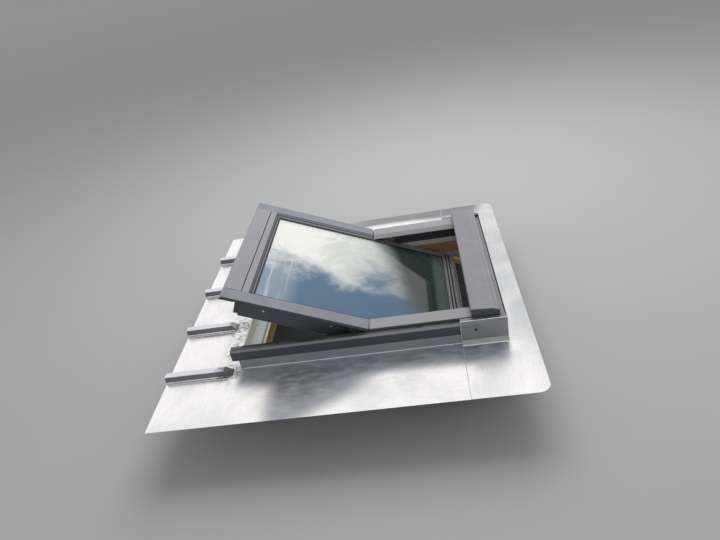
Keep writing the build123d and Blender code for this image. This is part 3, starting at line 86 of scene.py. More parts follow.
@dataclass(frozen=True)
class Socket:
    """One output of a shader node; arithmetic on it adds Math nodes."""

    shader: "Shader"
    link: bpy.types.NodeSocket

    def _math(self, operation: str, first: object, second: object) -> "Socket":
        """The result of a Math node on two values, which are sockets or numbers."""
        return self.shader.node("Math", {"operation": operation}, {0: first, 1: second})

    def __add__(self, other: object) -> "Socket":
        """This value plus another."""
        return self._math("ADD", self, other)

    __radd__ = __add__

    def __sub__(self, other: object) -> "Socket":
        """This value less another."""
        return self._math("SUBTRACT", self, other)

    def __rsub__(self, other: object) -> "Socket":
        """Another value less this one."""
        return self._math("SUBTRACT", other, self)

    def __mul__(self, other: object) -> "Socket":
        """This value times another."""
        return self._math("MULTIPLY", self, other)

    def ramp(self, low: float, high: float) -> "Socket":
        """A smooth step from 0 at low to 1 at high, which may be below low."""
        settings = {"interpolation_type": "SMOOTHSTEP"}
        return self.shader.node("MapRange", settings, {0: self, 1: low, 2: high})

    def band(self, low: float, high: float, soft: float) -> "Socket":
        """1 between two values and 0 outside them, with soft edges on both sides of each."""
        return self.ramp(low - soft, low + soft) * self.ramp(high + soft, high - soft)

    def axes(self) -> list["Socket"]:
        """The three numbers of a vector."""
        return [self.shader.node("SeparateXYZ", inputs={0: self}, output=axis) for axis in "XYZ"]

    def noise(self, scale: float, detail: float = 3.0, rough: float = 0.5,
              bend: float = 0.0) -> "Socket":
        """Soft noise of about 0.3 to 0.7 with scale lumps in a metre; bend distorts it."""
        inputs = {"Scale": scale, "Detail": detail, "Roughness": rough, "Distortion": bend}
        return self.shader.node("TexNoise", inputs={"Vector": self, **inputs})

    def bump(self, depth: float, strength: float) -> "Socket":
        """The normal of a relief of 0 to 1, so many metres deep, that shows so strongly."""
        inputs = {"Strength": strength, "Distance": depth, "Height": self}
        return self.shader.node("Bump", inputs=inputs, output="Normal")


class Shader:
    """The node tree of a material or of the world, built from Python expressions."""

    def __init__(self, owner: bpy.types.Material | bpy.types.World) -> None:
        """Empties the owner's node tree.

        Args:
            owner: What the shader is for.
        """
        owner.use_nodes = True
        self.tree = owner.node_tree
        self.tree.nodes.clear()

    def node(self, kind: str, settings: dict[str, object] | None = None,
             inputs: dict[int | str, object] | None = None, output: int | str = 0) -> Socket:
        """Adds any node.

        Args:
            kind: The node's type, without ShaderNode.
            settings: Its settings.
            inputs: The value or link of each input that isn't left alone.
            output: The output that is wanted.

        Returns:
            That output.
        """
        made = self.tree.nodes.new(f"ShaderNode{kind}")
        for key, value in (settings or {}).items():
            setattr(made, key, value)
        for key, value in (inputs or {}).items():
            if isinstance(value, Socket):
                self.tree.links.new(value.link, made.inputs[key])
            else:
                made.inputs[key].default_value = value
        return Socket(self, made.outputs[output])

    def mapped(self, vector: Socket, **inputs: object) -> Socket:
        """A vector that is stretched, turned and then shifted."""
        return self.node("Mapping", inputs={"Vector": vector, **inputs})

    def place(self, scale: Point = (1, 1, 1), turn: Point = (0, 0, 0),
              shift: Point = (0, 0, 0)) -> Socket:
        """Object coordinates in metres, turned, then stretched and shifted."""
        turned = self.mapped(self.node("TexCoord", output="Object"), Rotation=turn)
        return self.mapped(turned, Scale=scale, Location=shift)

    def up(self) -> Socket:
        """How far the surface faces up, from -1 to 1."""
        return self.node("NewGeometry", output="Normal").axes()[2]

    def mix(self, share: Socket, first: Socket | Colour, second: Socket | Colour) -> Socket:
        """Two colours blended by the share of the second."""
        first, second = (c if isinstance(c, Socket) else (*c, 1.0) for c in (first, second))
        return self.node("Mix", {"data_type": "RGBA"}, {0: share, 6: first, 7: second}, 2)

    def coats(self, tone: Socket | Colour, *coats: tuple[Socket, Socket | Colour]) -> Socket:
        """Lays coats of colour on a tone.

        Args:
            tone: The tone underneath.
            coats: How much of each coat there is, and its colour.

        Returns:
            The tone on top.
        """
        for share, colour in coats:
            tone = self.mix(share, tone, colour)
        return tone

    def surface(self, tone: Socket, rough: Socket | float, **inputs: object) -> None:
        """Shows a Principled shader.

        Args:
            tone: Its base colour.
            rough: Its roughness.
            inputs: Further inputs, named with _ for a space.
        """
        named = {key.replace("_", " "): value for key, value in inputs.items()}
        self.show(self.node("BsdfPrincipled", inputs={
            "Base Color": tone, "Roughness": rough, **named}), "Material")

    def show(self, shade: Socket, owner: str) -> None:
        """Sends a shader to the output of its owner, Material or World."""
        made = self.tree.nodes.new(f"ShaderNodeOutput{owner}")
        self.tree.links.new(shade.link, made.inputs["Surface"])


# Finishes


def dim(colour: Colour, share: float) -> Colour:
    """A colour at a share of its strength."""
    return tuple(part * share for part in colour)


@dataclass(frozen=True)
class Finish:
    """A surface finish: a name, and the shader that paints it."""

    name: str

    def paint(self, shader: Shader) -> None:
        """Builds the nodes of an empty shader."""
        raise NotImplementedError

    def material(self) -> bpy.types.Material:
        """The finish's material, made when it is first asked for.

        Returns:
            The material.
        """
        made = bpy.data.materials.get(self.name)
        if not made:
            made = bpy.data.materials.new(self.name)
            self.paint(Shader(made))
        return made


@dataclass(frozen=True)
class Enamel(Finish):
    """Grey stoved enamel on aluminium sheet, painted lighter on top faces as if lit, dusty on top
    and streaked down its sides.
    """

    colour: Colour = (0.078, 0.088, 0.102)
    # Top tone: painted light on faces that look up.
    lit_top: Colour = (0.255, 0.255, 0.276)
    dust: Colour = (0.42, 0.415, 0.43)
    roughness: float = 0.38

    def paint(self, shader: Shader) -> None:
        """A fine orange-peel skin, with painted light and dust on top, and paler scuffs.

        Args:
            shader: The empty shader.
        """
        here, up = shader.place(), shader.up()
        cloud = here.noise(9.0, 5.0, 0.6)
        streak = shader.place((14.0, 14.0, 1.6)).noise(6.0, 4.0, 0.6)
        speck = here.noise(420.0, 2.0, 0.7)
        dusty = up.ramp(0.35, 1.0) * cloud.ramp(0.34, 0.72) * 0.34 + speck.ramp(0.62, 0.78) * 0.16
        scuff = shader.place((3.0, 26.0, 26.0)).noise(9.0, 3.0, 0.7).ramp(0.70, 0.80)
        # Painted light: faces that look up take the lighter top tone.
        tone = shader.coats(
            self.colour, (streak.ramp(0.35, 0.7), dim(self.colour, 0.92)),
            (up.ramp(0.15, 0.75), self.lit_top), (dusty, self.dust), (scuff * 0.35, self.dust))
        rough = self.roughness + dusty * 0.35 + (cloud - 0.5) * 0.12
        shader.surface(tone, rough, IOR=1.4, Normal=here.noise(900.0, 2.0).bump(0.00004, 0.5))


class Rolling(Enum):
    """The way a sheet was rolled."""

    ACROSS = (1.0, 14.0, 14.0)
    UPSLOPE = (14.0, 1.0, 14.0)


@dataclass(frozen=True)
class Zinc(Finish):
    """Bright zinc-coated sheet with rolling lines, smears, handling marks and a soft waviness,
    under painted shade, painted reflections and painted fold highlights.
    """

    rolling: Rolling = Rolling.ACROSS
    sill_shaded: bool = False
    painted_reflections: bool = False
    bright: Colour = (0.985, 0.955, 0.955)
    dull: Colour = (0.68, 0.70, 0.73)
    blotch: Colour = (0.42, 0.44, 0.45)
    # Painted shade toward the head end of the sheets.
    corner: Colour = (0.50, 0.52, 0.53)
    # Tones of the painted reflections beside the frame and on the far strip.
    reflection_tone: Colour = (0.30, 0.325, 0.38)
    far_reflection: Colour = (0.21, 0.21, 0.225)
    # Painted shade from the sill on the apron.
    sill_shade: Colour = (0.17, 0.165, 0.16)
    burnt: Colour = (0.13, 0.105, 0.12)
    # Painted shade: a darker tone on upstands, from a height up.
    wall_shade: Colour = (0.19, 0.215, 0.215)
    wall_shade_from: Pair = (0.0030, 0.0052)
    # Painted highlight: a pale line along the fold at an upstand's foot.
    fold_highlight: Colour = (0.66, 0.67, 0.67)
    fold_highlight_at: Pair = (0.0018, 0.0030)
    # Painted shade on the steep flanks of the ribs.
    side: Colour | None = None

    def paint(self, shader: Shader) -> None:
        """Metal whose gloss and tone drift in streaks and smears, with painted shade, reflections
        and highlights laid on.

        Args:
            shader: The empty shader.
        """
        here = shader.place()
        x, y, z = here.axes()
        line = shader.place(self.rolling.value).noise(12.0, 5.0, 0.65)
        smear = here.noise(5.5, 4.0, 0.55, 0.6)
        blotch = here.noise(38.0, 4.0, 0.6)
        # Painted shade on the upstands above a height.
        wall_shade = z.ramp(*self.wall_shade_from)
        # Painted shade: a soft grey dulling toward the head end, more on the far side.
        corner = (y - x * 0.25).ramp(0.34, 0.52) * (1 - wall_shade)
        dull = smear.ramp(0.40, 0.70) * 0.45 + line.ramp(0.45, 0.75) * 0.25
        tone = shader.coats(
            self.bright, (dull, self.dull), (blotch.ramp(0.60, 0.80) * 0.3, self.blotch),
            (wall_shade * 0.85, self.wall_shade), (corner * (smear * 0.7 + 0.25), self.corner))
        rough = 0.20 + smear.ramp(0.3, 0.7) * 0.14 + line.ramp(0.45, 0.7) * 0.08 + wall_shade * 0.25
        # Painted reflections: a mottled grey patch beside the frame on the near side, and a darker
        # band along the far strip.
        if self.painted_reflections:
            soft = shader.place((1.0, 0.5, 1.0)).noise(4.0) - 0.5
            strip = (x + soft * 0.06).ramp(0.535, 0.475)
            wedge = (x + y * 0.8 + soft * 0.10).ramp(0.56, 0.46)
            wedge = wedge * (y + soft * 0.06).ramp(-0.39, -0.32) * 0.80
            reach = (strip + wedge - strip * wedge) * x.ramp(0.30, 0.40) * y.ramp(0.50, 0.44)
            reach = reach * (y + soft * 0.05).ramp(-0.52, -0.48) * (1 - wall_shade)
            far = (x + soft * 0.05).ramp(-0.578, -0.628) * (y + soft * 0.3).ramp(-0.45, 0.0)
            far = far * (y + x * 0.4 + soft * 0.05).ramp(0.28, 0.20)
            patch = shader.place((1.0, 0.4, 1.0)).noise(40.0, 5.0, 0.62, 0.3)
            reflection_tone = shader.mix(patch.ramp(0.38, 0.68), self.reflection_tone, dim(self.reflection_tone, 1.3))
            tone = shader.coats(tone, (reach * 0.9, reflection_tone), (far * (0.84 + patch * 0.12), self.far_reflection))
            rough = rough + reach * (0.12 + patch.ramp(0.45, 0.6) * 0.08)
        # Painted shade: the sill's dark, mottled reflection on the apron in front of it.
        if self.sill_shaded:
            near = y.band(-0.590, -0.505, 0.025) * x.ramp(0.52, 0.40) * x.ramp(-0.52, -0.40)
            sill_shade = near * (here.noise(34.0, 4.0, 0.65).ramp(0.44, 0.70) * 0.8 + 0.15)
            tone = shader.mix(sill_shade * 0.8, tone, self.sill_shade)
            rough = rough + sill_shade * 0.25
        # Painted highlight along the fold at each upstand's foot.
        tone = shader.mix(z.band(*self.fold_highlight_at, 0.0003) * 0.95, tone, self.fold_highlight)
        # Painted shade: the steep flanks of the ribs take the darker side tone.
        if self.side:
            shaded_flank = shader.up().ramp(0.75, 0.35) * z.ramp(0.0030, 0.0044)
            # A ragged darker band low on the flanks; the same noise frays the burnt tone at the
            # ribs' inner ends.
            ragged = shader.place((1.0, 0.35, 1.0)).noise(120.0, 4.0, 0.65).ramp(0.42, 0.62)
            foot = z.ramp(0.0070, 0.0044) * z.ramp(0.0026, 0.0038) * ragged
            end = (y + ragged * 0.03).ramp(-0.60, -0.53)
            tone = shader.coats(
                tone, (shaded_flank * (0.90 + ragged * 0.04), self.side),
                (foot * 0.7, dim(self.side, 0.35)), (end * 0.75, self.burnt))
            rough = rough + shaded_flank * 0.2
        wave = shader.place((2.2, 1.2, 1.0)).noise(2.6, 1.0, 0.4)
        relief = (wave + here.noise(160.0, 3.0, 0.6) * 0.001).bump(0.012, 0.35)
        shader.surface(tone, rough, Metallic=0.9, Normal=relief)


class Grain(Enum):
    """The way a pine member's grain runs, as the turn that lays it along X."""

    ACROSS = (0.0, 0.0, 0.0)
    UPSLOPE = (0.0, 0.0, -math.pi / 2)
    SASH = (OPEN_ANGLE, 0.0, -math.pi / 2)
    SASH_ACROSS = (OPEN_ANGLE, 0.0, 0.0)


@dataclass(frozen=True)
class Pine(Finish):
    """Clear-lacquered pine with growth rings, pores, a few knots and a warm tint."""

    grain: Grain = Grain.ACROSS
    early: Colour = (0.66, 0.450, 0.220)
    late: Colour = (0.40, 0.215, 0.085)
    warm: Colour = (0.74, 0.54, 0.30)
    knot: Colour = (0.13, 0.05, 0.018)

    def paint(self, shader: Shader) -> None:
        """Rings stretched along the grain, under a satin lacquer.

        Args:
            shader: The empty shader.
        """
        turn = self.grain.value
        settings = {"wave_type": "BANDS", "bands_direction": "DIAGONAL"}
        rings = {"Vector": shader.place((0.8, 9.0, 9.0), turn), "Scale": 5.0, "Distortion": 5.5,
                 "Detail": 3.0, "Detail Scale": 0.8, "Detail Roughness": 0.6}
        wave = shader.node("TexWave", settings, rings, 1)
        pores = shader.place((9.0, 260.0, 260.0), turn).noise(3.0, 3.0, 0.7)
        tint = shader.place((1.2, 3.0, 3.0), turn).noise(2.0, 2.0)
        cells = {"Vector": shader.place((1.0, 2.4, 2.4), turn), "Scale": 3.6}
        knots = shader.node("TexVoronoi", {"feature": "F1"}, cells).ramp(0.075, 0.045)
        tone = shader.coats(
            self.early, (wave.ramp(0.25, 1.0) * 0.45, self.late),
            (pores.ramp(0.55, 0.75) * 0.35, self.late), (tint.ramp(0.3, 0.75) * 0.3, self.warm),
            (knots * 0.85, self.knot))
        relief = (wave * 0.4 + pores * 0.6).bump(0.00012, 0.5)
        shader.surface(tone, 0.34 + pores.ramp(0.4, 0.8) * 0.18, Coat_Weight=0.35,
                       Coat_Roughness=0.2, Normal=relief)


@dataclass(frozen=True)
class Pane(Finish):
    """Coated window glass whose outer face carries a painted reflection of a cloudy sky and of the
    frame.
    """

    clear: float = 0.25
    painted_reflections: bool = False
    # Colours of the painted reflection on the outer face.
    blues: Tones = ((0.075, 0.165, 0.285), (0.055, 0.135, 0.255))
    pales: Tones = ((1.0, 1.0, 0.96), (0.48, 0.51, 0.50))
    greens: Tones = ((0.030, 0.047, 0.042), (0.100, 0.140, 0.122))
    wisps: Colour = (0.56, 0.60, 0.56)
    foot: Colour = (0.32, 0.40, 0.48)
    runs: Colour = (0.62, 0.72, 0.72)
    edge: Colour = (0.35, 0.48, 0.48)
    plain: Tones = ((0.30, 0.44, 0.44), (0.38, 0.52, 0.52))

    def paint(self, shader: Shader) -> None:
        """Blue-grey glass; its outer face has a painted reflection of blue sky with soft pale
        clouds, its other faces stay clear.

        Args:
            shader: The empty shader.
        """
        here = shader.place(turn=(OPEN_ANGLE, 0.0, 0.0))
        tint = here.noise(4.0)
        colour, alpha = shader.mix(tint, *self.plain), self.clear + tint * 0.02
        # Painted reflection on the outer face: blue sky, pale clouds, pale streaks low down, and
        # the frame's dark green near the top.
        if self.painted_reflections:
            x, y, _ = here.axes()
            lie = shader.place((1.6, 1.0, 1.0), (OPEN_ANGLE, 0.0, 0.5), (0.3, 0.1, 0.0))
            drift = lie.noise(3.4, 4.0, 0.5, 0.3)
            lie = shader.place((0.9, 1.5, 1.0), (OPEN_ANGLE, 0.0, 0.9))
            wisp = lie.noise(9.0, 6.0, 0.62, 0.8)
            cloud = (drift - 0.5) * 0.5 + (wisp - 0.5) * 0.30 - x + y * 0.12
            thin = wisp.ramp(0.42, 0.62) * 0.45 * y.ramp(-0.36, -0.20)
            pale = shader.mix(thin, shader.mix(y.ramp(-0.30, 0.15), *self.pales), self.wisps)
            run = shader.place((2.0, 62.0, 1.0), (OPEN_ANGLE, 0.0, 0.0)).noise(1.0, 3.0, 0.6)
            low = (y + (drift - 0.5) * 0.1).ramp(-0.335, -0.370)
            runs = run.ramp(0.48, 0.66) * low * x.ramp(-0.25, 0.10)
            frame_reflection = (y - (x - 0.29) * 0.28 + (drift - 0.5) * 0.1).ramp(0.10, 0.24)
            blue = shader.mix(y.ramp(-0.35, 0.25), *self.blues)
            green = shader.mix(y.ramp(0.230, 0.255), *self.greens)
            reflection_tone = shader.coats(
                blue, (y.ramp(-0.30, -0.385) * 0.75, self.foot), (cloud.ramp(-0.13, 0.10), pale),
                (runs * 0.7, self.runs), (frame_reflection, green))
            outer = shader.up().ramp(0.6, 0.8)
            colour, alpha = shader.mix(outer, self.edge, reflection_tone), self.clear + outer * 0.56
        smear = here.noise(26.0, 4.0, 0.6)
        shader.surface(colour, 0.02 + smear.ramp(0.5, 0.8) * 0.06, Alpha=alpha, IOR=1.5)


@dataclass(frozen=True)
class Rubber(Finish):
    """Matt black rubber with a grey bloom."""

    colour: Colour = (0.020, 0.020, 0.022)
    dust: Colour = (0.085, 0.082, 0.08)

    def paint(self, shader: Shader) -> None:
        """Black with soft dust.

        Args:
            shader: The empty shader.
        """
        here = shader.place()
        bloom = here.noise(46.0, 4.0, 0.6).ramp(0.45, 0.75)
        relief = here.noise(700.0).bump(0.00008, 0.4)
        shader.surface(shader.mix(bloom * 0.5, self.colour, self.dust), 0.62 + bloom * 0.2,
                       Normal=relief)


@dataclass(frozen=True)
class Moulded(Finish):
    """Moulded plastic with a fine spark-eroded texture."""

    colour: Colour = (0.60, 0.60, 0.58)
    roughness: float = 0.5

    def paint(self, shader: Shader) -> None:
        """Even plastic with handling marks.

        Args:
            shader: The empty shader.
        """
        here = shader.place()
        marks = here.noise(55.0, 4.0, 0.6).ramp(0.5, 0.8)
        relief = here.noise(1100.0, 2.0).bump(0.00005, 0.5)
        shader.surface(shader.mix(marks * 0.4, self.colour, dim(self.colour, 0.72)),
                       self.roughness + marks * 0.15, Normal=relief)


@dataclass(frozen=True)
class Metal(Finish):
    """Bare or plated metal, brushed one way, with scratches."""

    colour: Colour
    brushing: Point = (2.0, 90.0, 90.0)
    roughness: float = 0.32

    def paint(self, shader: Shader) -> None:
        """Fine brush lines and dull spots.

        Args:
            shader: The empty shader.
        """
        lines = shader.place(self.brushing).noise(8.0, 4.0, 0.7)
        spots = shader.place().noise(70.0, 4.0, 0.6).ramp(0.56, 0.76)
        tone = shader.coats(self.colour, (lines.ramp(0.35, 0.7), dim(self.colour, 0.78)),
                            (spots * 0.45, dim(self.colour, 0.5)))
        rough = self.roughness + spots * 0.2 + lines.ramp(0.4, 0.8) * 0.1
        shader.surface(tone, rough, Metallic=0.95, Normal=lines.bump(0.00005, 0.4))


@dataclass(frozen=True)
class Flux(Finish):
    """Solder spread thin, with burnt flux and grime in its hollows."""

    bright: Colour = (0.84, 0.84, 0.86)
    dull: Colour = (0.50, 0.49, 0.50)
    burnt: Colour = (0.120, 0.090, 0.095)

    def paint(self, shader: Shader) -> None:
        """Bright lumps among dark brown crumbs.

        Args:
            shader: The empty shader.
        """
        here = shader.place()
        crumbs = here.noise(150.0, 5.0, 0.7, 0.5)
        burnt = crumbs.ramp(0.36, 0.60) * here.noise(32.0, 3.0).ramp(0.30, 0.52)
        dull = here.noise(60.0, 3.0).ramp(0.4, 0.7)
        tone = shader.coats(self.bright, (dull * 0.4, self.dull), (burnt * 0.75, self.burnt))
        shader.surface(tone, 0.35 + burnt * 0.35, Metallic=0.85, Normal=crumbs.bump(0.0003, 0.4))


@dataclass(frozen=True)
class Foam(Finish):
    """Open-celled grey filter foam."""

    pore: Colour = (0.03, 0.03, 0.032)
    strut: Colour = (0.22, 0.22, 0.22)

    def paint(self, shader: Shader) -> None:
        """Dark pores between pale struts.

        Args:
            shader: The empty shader.
        """
        cells = {"Vector": shader.place(), "Scale": 520.0}
        strut = shader.node("TexVoronoi", {"feature": "DISTANCE_TO_EDGE"}, cells)
        strut = strut.ramp(0.12, 0.02)
        shader.surface(shader.mix(strut, self.pore, self.strut), 0.9,
                       Normal=strut.bump(0.0006, 0.9))


ENAMEL = Enamel("grey enamel")
SHADE_ENAMEL = Enamel("dark enamel", (0.050, 0.056, 0.066), (0.080, 0.085, 0.095))
LINING_ENAMEL = Enamel("pale enamel", (0.92, 0.97, 0.94), (0.90, 0.95, 0.91),
                       (0.90, 0.94, 0.90), 0.30)
# Copies of the grey enamel that differ only in how much painted light their top faces take.
FIXED_ENAMEL = Enamel("fixed enamel", lit_top=(0.33, 0.33, 0.345))
BOTTOM_ENAMEL = Enamel("bottom enamel", lit_top=(0.33, 0.325, 0.35))
SASH_ENAMEL = Enamel("sash enamel", lit_top=(0.235, 0.25, 0.29))
# A darker copy: painted shade on the side covers.
SHADED_SIDE_ENAMEL = Enamel("side enamel", (0.058, 0.069, 0.086))
# A pale copy for thin painted highlights along folds, ridges and edges.
HIGHLIGHT_ENAMEL = Enamel("ridge enamel", (0.30, 0.31, 0.33), (0.46, 0.46, 0.48))
# These sheets carry painted reflections.
APRON_ZINC = Zinc("apron zinc", sill_shaded=True, painted_reflections=True)
SIDE_ZINC = Zinc("side zinc", Rolling.UPSLOPE, painted_reflections=True)
# The head sheet's upstand takes a darker painted shade.
HEAD_ZINC = Zinc("head zinc", painted_reflections=True, wall_shade=(0.15, 0.165, 0.17),
                 wall_shade_from=(0.0018, 0.0045), fold_highlight=(0.62, 0.63, 0.63))
HEM_ZINC = Zinc("hem zinc", Rolling.UPSLOPE, wall_shade=(0.80, 0.81, 0.82))
# The rib sheet: its body tone and its darker flanks are painted light and shade.
RIB_ZINC = Zinc("rib zinc", Rolling.UPSLOPE, wall_shade=(0.74, 0.74, 0.80),
                side=(0.15, 0.155, 0.175))
SOLDER = Metal("solder", (0.66, 0.67, 0.68), (60.0, 60.0, 60.0), 0.4)
FLUX = Flux("burnt solder")
PINE_ACROSS = Pine("pine across")
# A darker copy of the pine: painted shade on the frame's side members.
SHADED_PINE_UPSLOPE = Pine("pine upslope", Grain.UPSLOPE, (0.33, 0.215, 0.110), (0.21, 0.115, 0.050))
PINE_SASH = Pine("sash pine upslope", Grain.SASH)
PINE_SASH_ACROSS = Pine("sash pine across", Grain.SASH_ACROSS)
OUTER_PANE = Pane("outer pane glass", 0.22, True)
INNER_PANE = Pane("inner pane glass", 0.22)
BLACK_RUBBER = Rubber("black rubber")
GREY_RUBBER = Rubber("grey rubber", (0.42, 0.44, 0.40))
SPACER_METAL = Metal("spacer metal", (0.42, 0.43, 0.43), (90.0, 90.0, 90.0))
TAPE_FOIL = Metal("tape foil", (0.33, 0.33, 0.345), (40.0, 40.0, 40.0), 0.45)
PLATED = Metal("plated steel", (0.62, 0.60, 0.54))
SCREW_STEEL = Metal("screw steel", (0.70, 0.70, 0.69), (60.0, 60.0, 60.0))
BAR_METAL = Metal("anodised bar", (0.76, 0.76, 0.76))
WHITE_PLASTIC = Moulded("pale plastic")
DARK_PLASTIC = Moulded("dark plastic", (0.045, 0.045, 0.048), 0.45)
FOAM = Foam("filter foam")


# Modelling by hand


def mm(*lengths: float) -> tuple[float, ...]:
    """Lengths in millimetres as metres."""
    return tuple(length * MM for length in lengths)


def both(name: str) -> list[str]:
    """The names of a left and right pair of nodes."""
    return [f"{name}_left", f"{name}_right"]


class Bench:
    """Modelling moves on one new piece at a time."""

    def __init__(self, name: str) -> None:
        """Takes the newly added primitive as the piece."""
        self.piece = bpy.context.active_object
        self.piece.name = self.piece.data.name = name

    @staticmethod
    def clear() -> None:
        """Goes to object mode and deselects everything."""
        if bpy.context.mode != "OBJECT":
            bpy.ops.object.mode_set(mode="OBJECT")
        bpy.ops.object.select_all(action="DESELECT")

    @classmethod
    def add(cls, name: str, kind: str, scale: Point = (1, 1, 1), **settings: object) -> Self:
        """Adds a primitive.

        Args:
            name: The piece's name.
            kind: The primitive's kind.
            scale: How it is stretched.
            settings: The primitive's settings.

        Returns:
            The bench with the piece on it.
        """
        cls.clear()
        getattr(bpy.ops.mesh, f"primitive_{kind}_add")(**settings)
        bench = cls(name)
        bench.piece.scale = scale
        bpy.ops.object.transform_apply(location=True, rotation=True, scale=True)
        return bench

    @classmethod
    def block(cls, name: str, start: Point, end: Point) -> Self:
        """A box between two corners."""
        low, high = (Vector(map(least, start, end)) for least in (min, max))
        return cls.add(name, "cube", high - low, size=1.0, location=(low + high) / 2)

    @classmethod
    def rod(cls, name: str, start: Point, end: Point, radius: float, sides: int = 12) -> Self:
        """A round bar between two points.

        Args:
            name: The piece's name.
            start: The middle of one end.
            end: The middle of the other.
            radius: Its radius.
            sides: How many sides its round has.

        Returns:
            The bench with the bar on it.
        """
        start, end = Vector(start), Vector(end)
        turn = (end - start).to_track_quat("Z", "Y").to_euler()
        return cls.add(name, "cylinder", vertices=sides, radius=radius, depth=(end - start).length,
                       location=(start + end) / 2, rotation=turn)

    @classmethod
    def strip(cls, name: str, ends: Ends, up: Point, width: float, height: float) -> Self:
        """A flat strip that lies on a surface.

        Args:
            name: The piece's name.
            ends: The middle of each end, on the surface.
            up: Where the surface faces.
            width: The strip's width.
            height: How far it stands out.

        Returns:
            The bench with the strip on it.
        """
        start, run = Vector(ends[0]), Vector(ends[1]) - Vector(ends[0])
        along, up = run.normalized(), Vector(up).normalized()
        turn = Matrix((along, up.cross(along), up)).transposed().to_4x4()
        bench = cls.block(name, (0, -width / 2, -height / 2), (run.length, width / 2, height))
        return bench.move(Matrix.Translation(start) @ turn)

    def edit(self, wanted: Callable[[object], bool], kind: str, step: str,
             **settings: object) -> Self:
        """Works on faces or edges and stays in edit mode.

        Args:
            wanted: Says whether a face or edge is worked on.
            kind: FACE or EDGE.
            step: The mesh operator that does the work.
            settings: The operator's settings.

        Returns:
            The bench.
        """
        if bpy.context.mode != "EDIT_MESH":
            bpy.ops.object.mode_set(mode="EDIT")
        bpy.ops.mesh.select_mode(type=kind)
        bpy.ops.mesh.select_all(action="DESELECT")
        shape = bmesh.from_edit_mesh(self.piece.data)
        for part in shape.faces if kind == "FACE" else shape.edges:
            part.select_set(wanted(part))
        bmesh.update_edit_mesh(self.piece.data)
        getattr(bpy.ops.mesh, step)(**settings)
        return self

    def sink(self, way: Point, inset: float, depth: float) -> Self:
        """Insets the faces that face a way and pushes them that way.

        Args:
            way: The way.
            inset: How far their edges come in.
            depth: How far they move.

        Returns:
            The bench.
        """
        way = Vector(way)
        self.edit(lambda face: face.normal.dot(way) > FACING, "FACE", "inset", thickness=inset)
        bpy.ops.mesh.extrude_region_move(TRANSFORM_OT_translate={"value": way * depth})
        return self

    def done(self) -> Self:
        """Back to object mode."""
        self.clear()
        return self

    def apply(self, kind: str, **settings: object) -> Self:
        """Adds a modifier and applies it.

        Args:
            kind: The modifier's type.
            settings: Its settings.

        Returns:
            The bench.
        """
        self.done()
        modifier = self.piece.modifiers.new(kind, kind)
        for key, value in settings.items():
            setattr(modifier, key, value)
        bpy.context.view_layer.objects.active = self.piece
        bpy.ops.object.modifier_apply(modifier=modifier.name)
        return self

    def soften(self, width: float, segments: int = 2) -> Self:
        """Rounds the piece's edges."""
        return self.apply("BEVEL", width=width, segments=segments, limit_method="ANGLE",
                          angle_limit=math.radians(40))

    def smooth(self, angle: float = 35.0) -> Self:
        """Shades the piece smooth.

        Args:
            angle: The angle in degrees from which an edge stays sharp.

        Returns:
            The bench.
        """
        self.clear()
        self.piece.select_set(True)
        bpy.context.view_layer.objects.active = self.piece
        bpy.ops.object.shade_smooth_by_angle(angle=math.radians(angle))
        return self

    def move(self, matrix: Matrix) -> Self:
        """Moves the piece's mesh.

        Args:
            matrix: The move.

        Returns:
            The bench.
        """
        self.done()
        self.piece.data.transform(matrix)
        self.piece.data.update()
        return self

    def carve(self, cutter: Self) -> Self:
        """Cuts another piece's form out of this one.

        Args:
            cutter: The bench with the form on it, which is used up.

        Returns:
            The bench.
        """
        self.apply("BOOLEAN", operation="DIFFERENCE", solver="EXACT", object=cutter.piece)
        bpy.data.objects.remove(cutter.piece)
        return self

    def slice_long(self, cuts: int, shortest: float) -> Self:
        """Cuts the edges over a length into runs."""
        return self.edit(lambda edge: edge.calc_length() > shortest, "EDGE", "subdivide",
                         number_cuts=cuts)

    def roughen(self, size: float, depth: float) -> Self:
        """Gives the piece lumps.

        Args:
            size: How wide a lump is.
            depth: How far it stands out.

        Returns:
            The bench.
        """
        lumps = bpy.data.textures.new("lumps", "CLOUDS")
        lumps.noise_scale = size
        return self.apply("DISPLACE", texture=lumps, texture_coords="LOCAL", strength=depth,
                          mid_level=0.5)

    def keep_above(self, height: float) -> Self:
        """Cuts away what lies below a height."""
        return self.edit(lambda face: True, "FACE", "bisect", plane_co=(0, 0, height),
                         plane_no=OUT, use_fill=True, clear_inner=True)

    def copies(self, moves: Iterable[Matrix]) -> Self:
        """Repeats the piece's mesh within the piece.

        Args:
            moves: One matrix for each place; the first form isn't kept.

        Returns:
            The bench.
        """
        self.done()
        whole = bmesh.new()
        for matrix in moves:
            one = self.piece.data.copy()
            one.transform(matrix)
            whole.from_mesh(one)
            bpy.data.meshes.remove(one)
        whole.to_mesh(self.piece.data)
        whole.free()
        return self

    def finish(self, finish: Finish, body: str, slot: str,
               stands_for: tuple[str, ...] = ()) -> None:
        """Dresses the piece and hangs it on its body.

        Args:
            finish: Its finish.
            body: The body that it moves with.
            slot: Not used.
            stands_for: The CAD nodes that it stands for.
        """
        self.done()
        self.piece.data.materials.clear()
        self.piece.data.materials.append(finish.material())
        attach(self.piece, body)
        if stands_for:
            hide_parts(*stands_for)
        log.info("made %s: %d faces", self.piece.name, len(self.piece.data.polygons))


def sash_place() -> Matrix:
    """Turns what is drawn shut about the pivot axis to the pose of the sash at rest."""
    pivot = Matrix.Translation((0, 0, PIVOT_Z))
    return pivot @ Matrix.Rotation(-OPEN_ANGLE, 4, "X") @ pivot.inverted()


def shut(x: float, reach: float, height: float) -> Vector:
    """A point of the shut sash: across, down the slope from the pivot axis, and above that axis."""
    return Vector((x, -reach, PIVOT_Z + height))


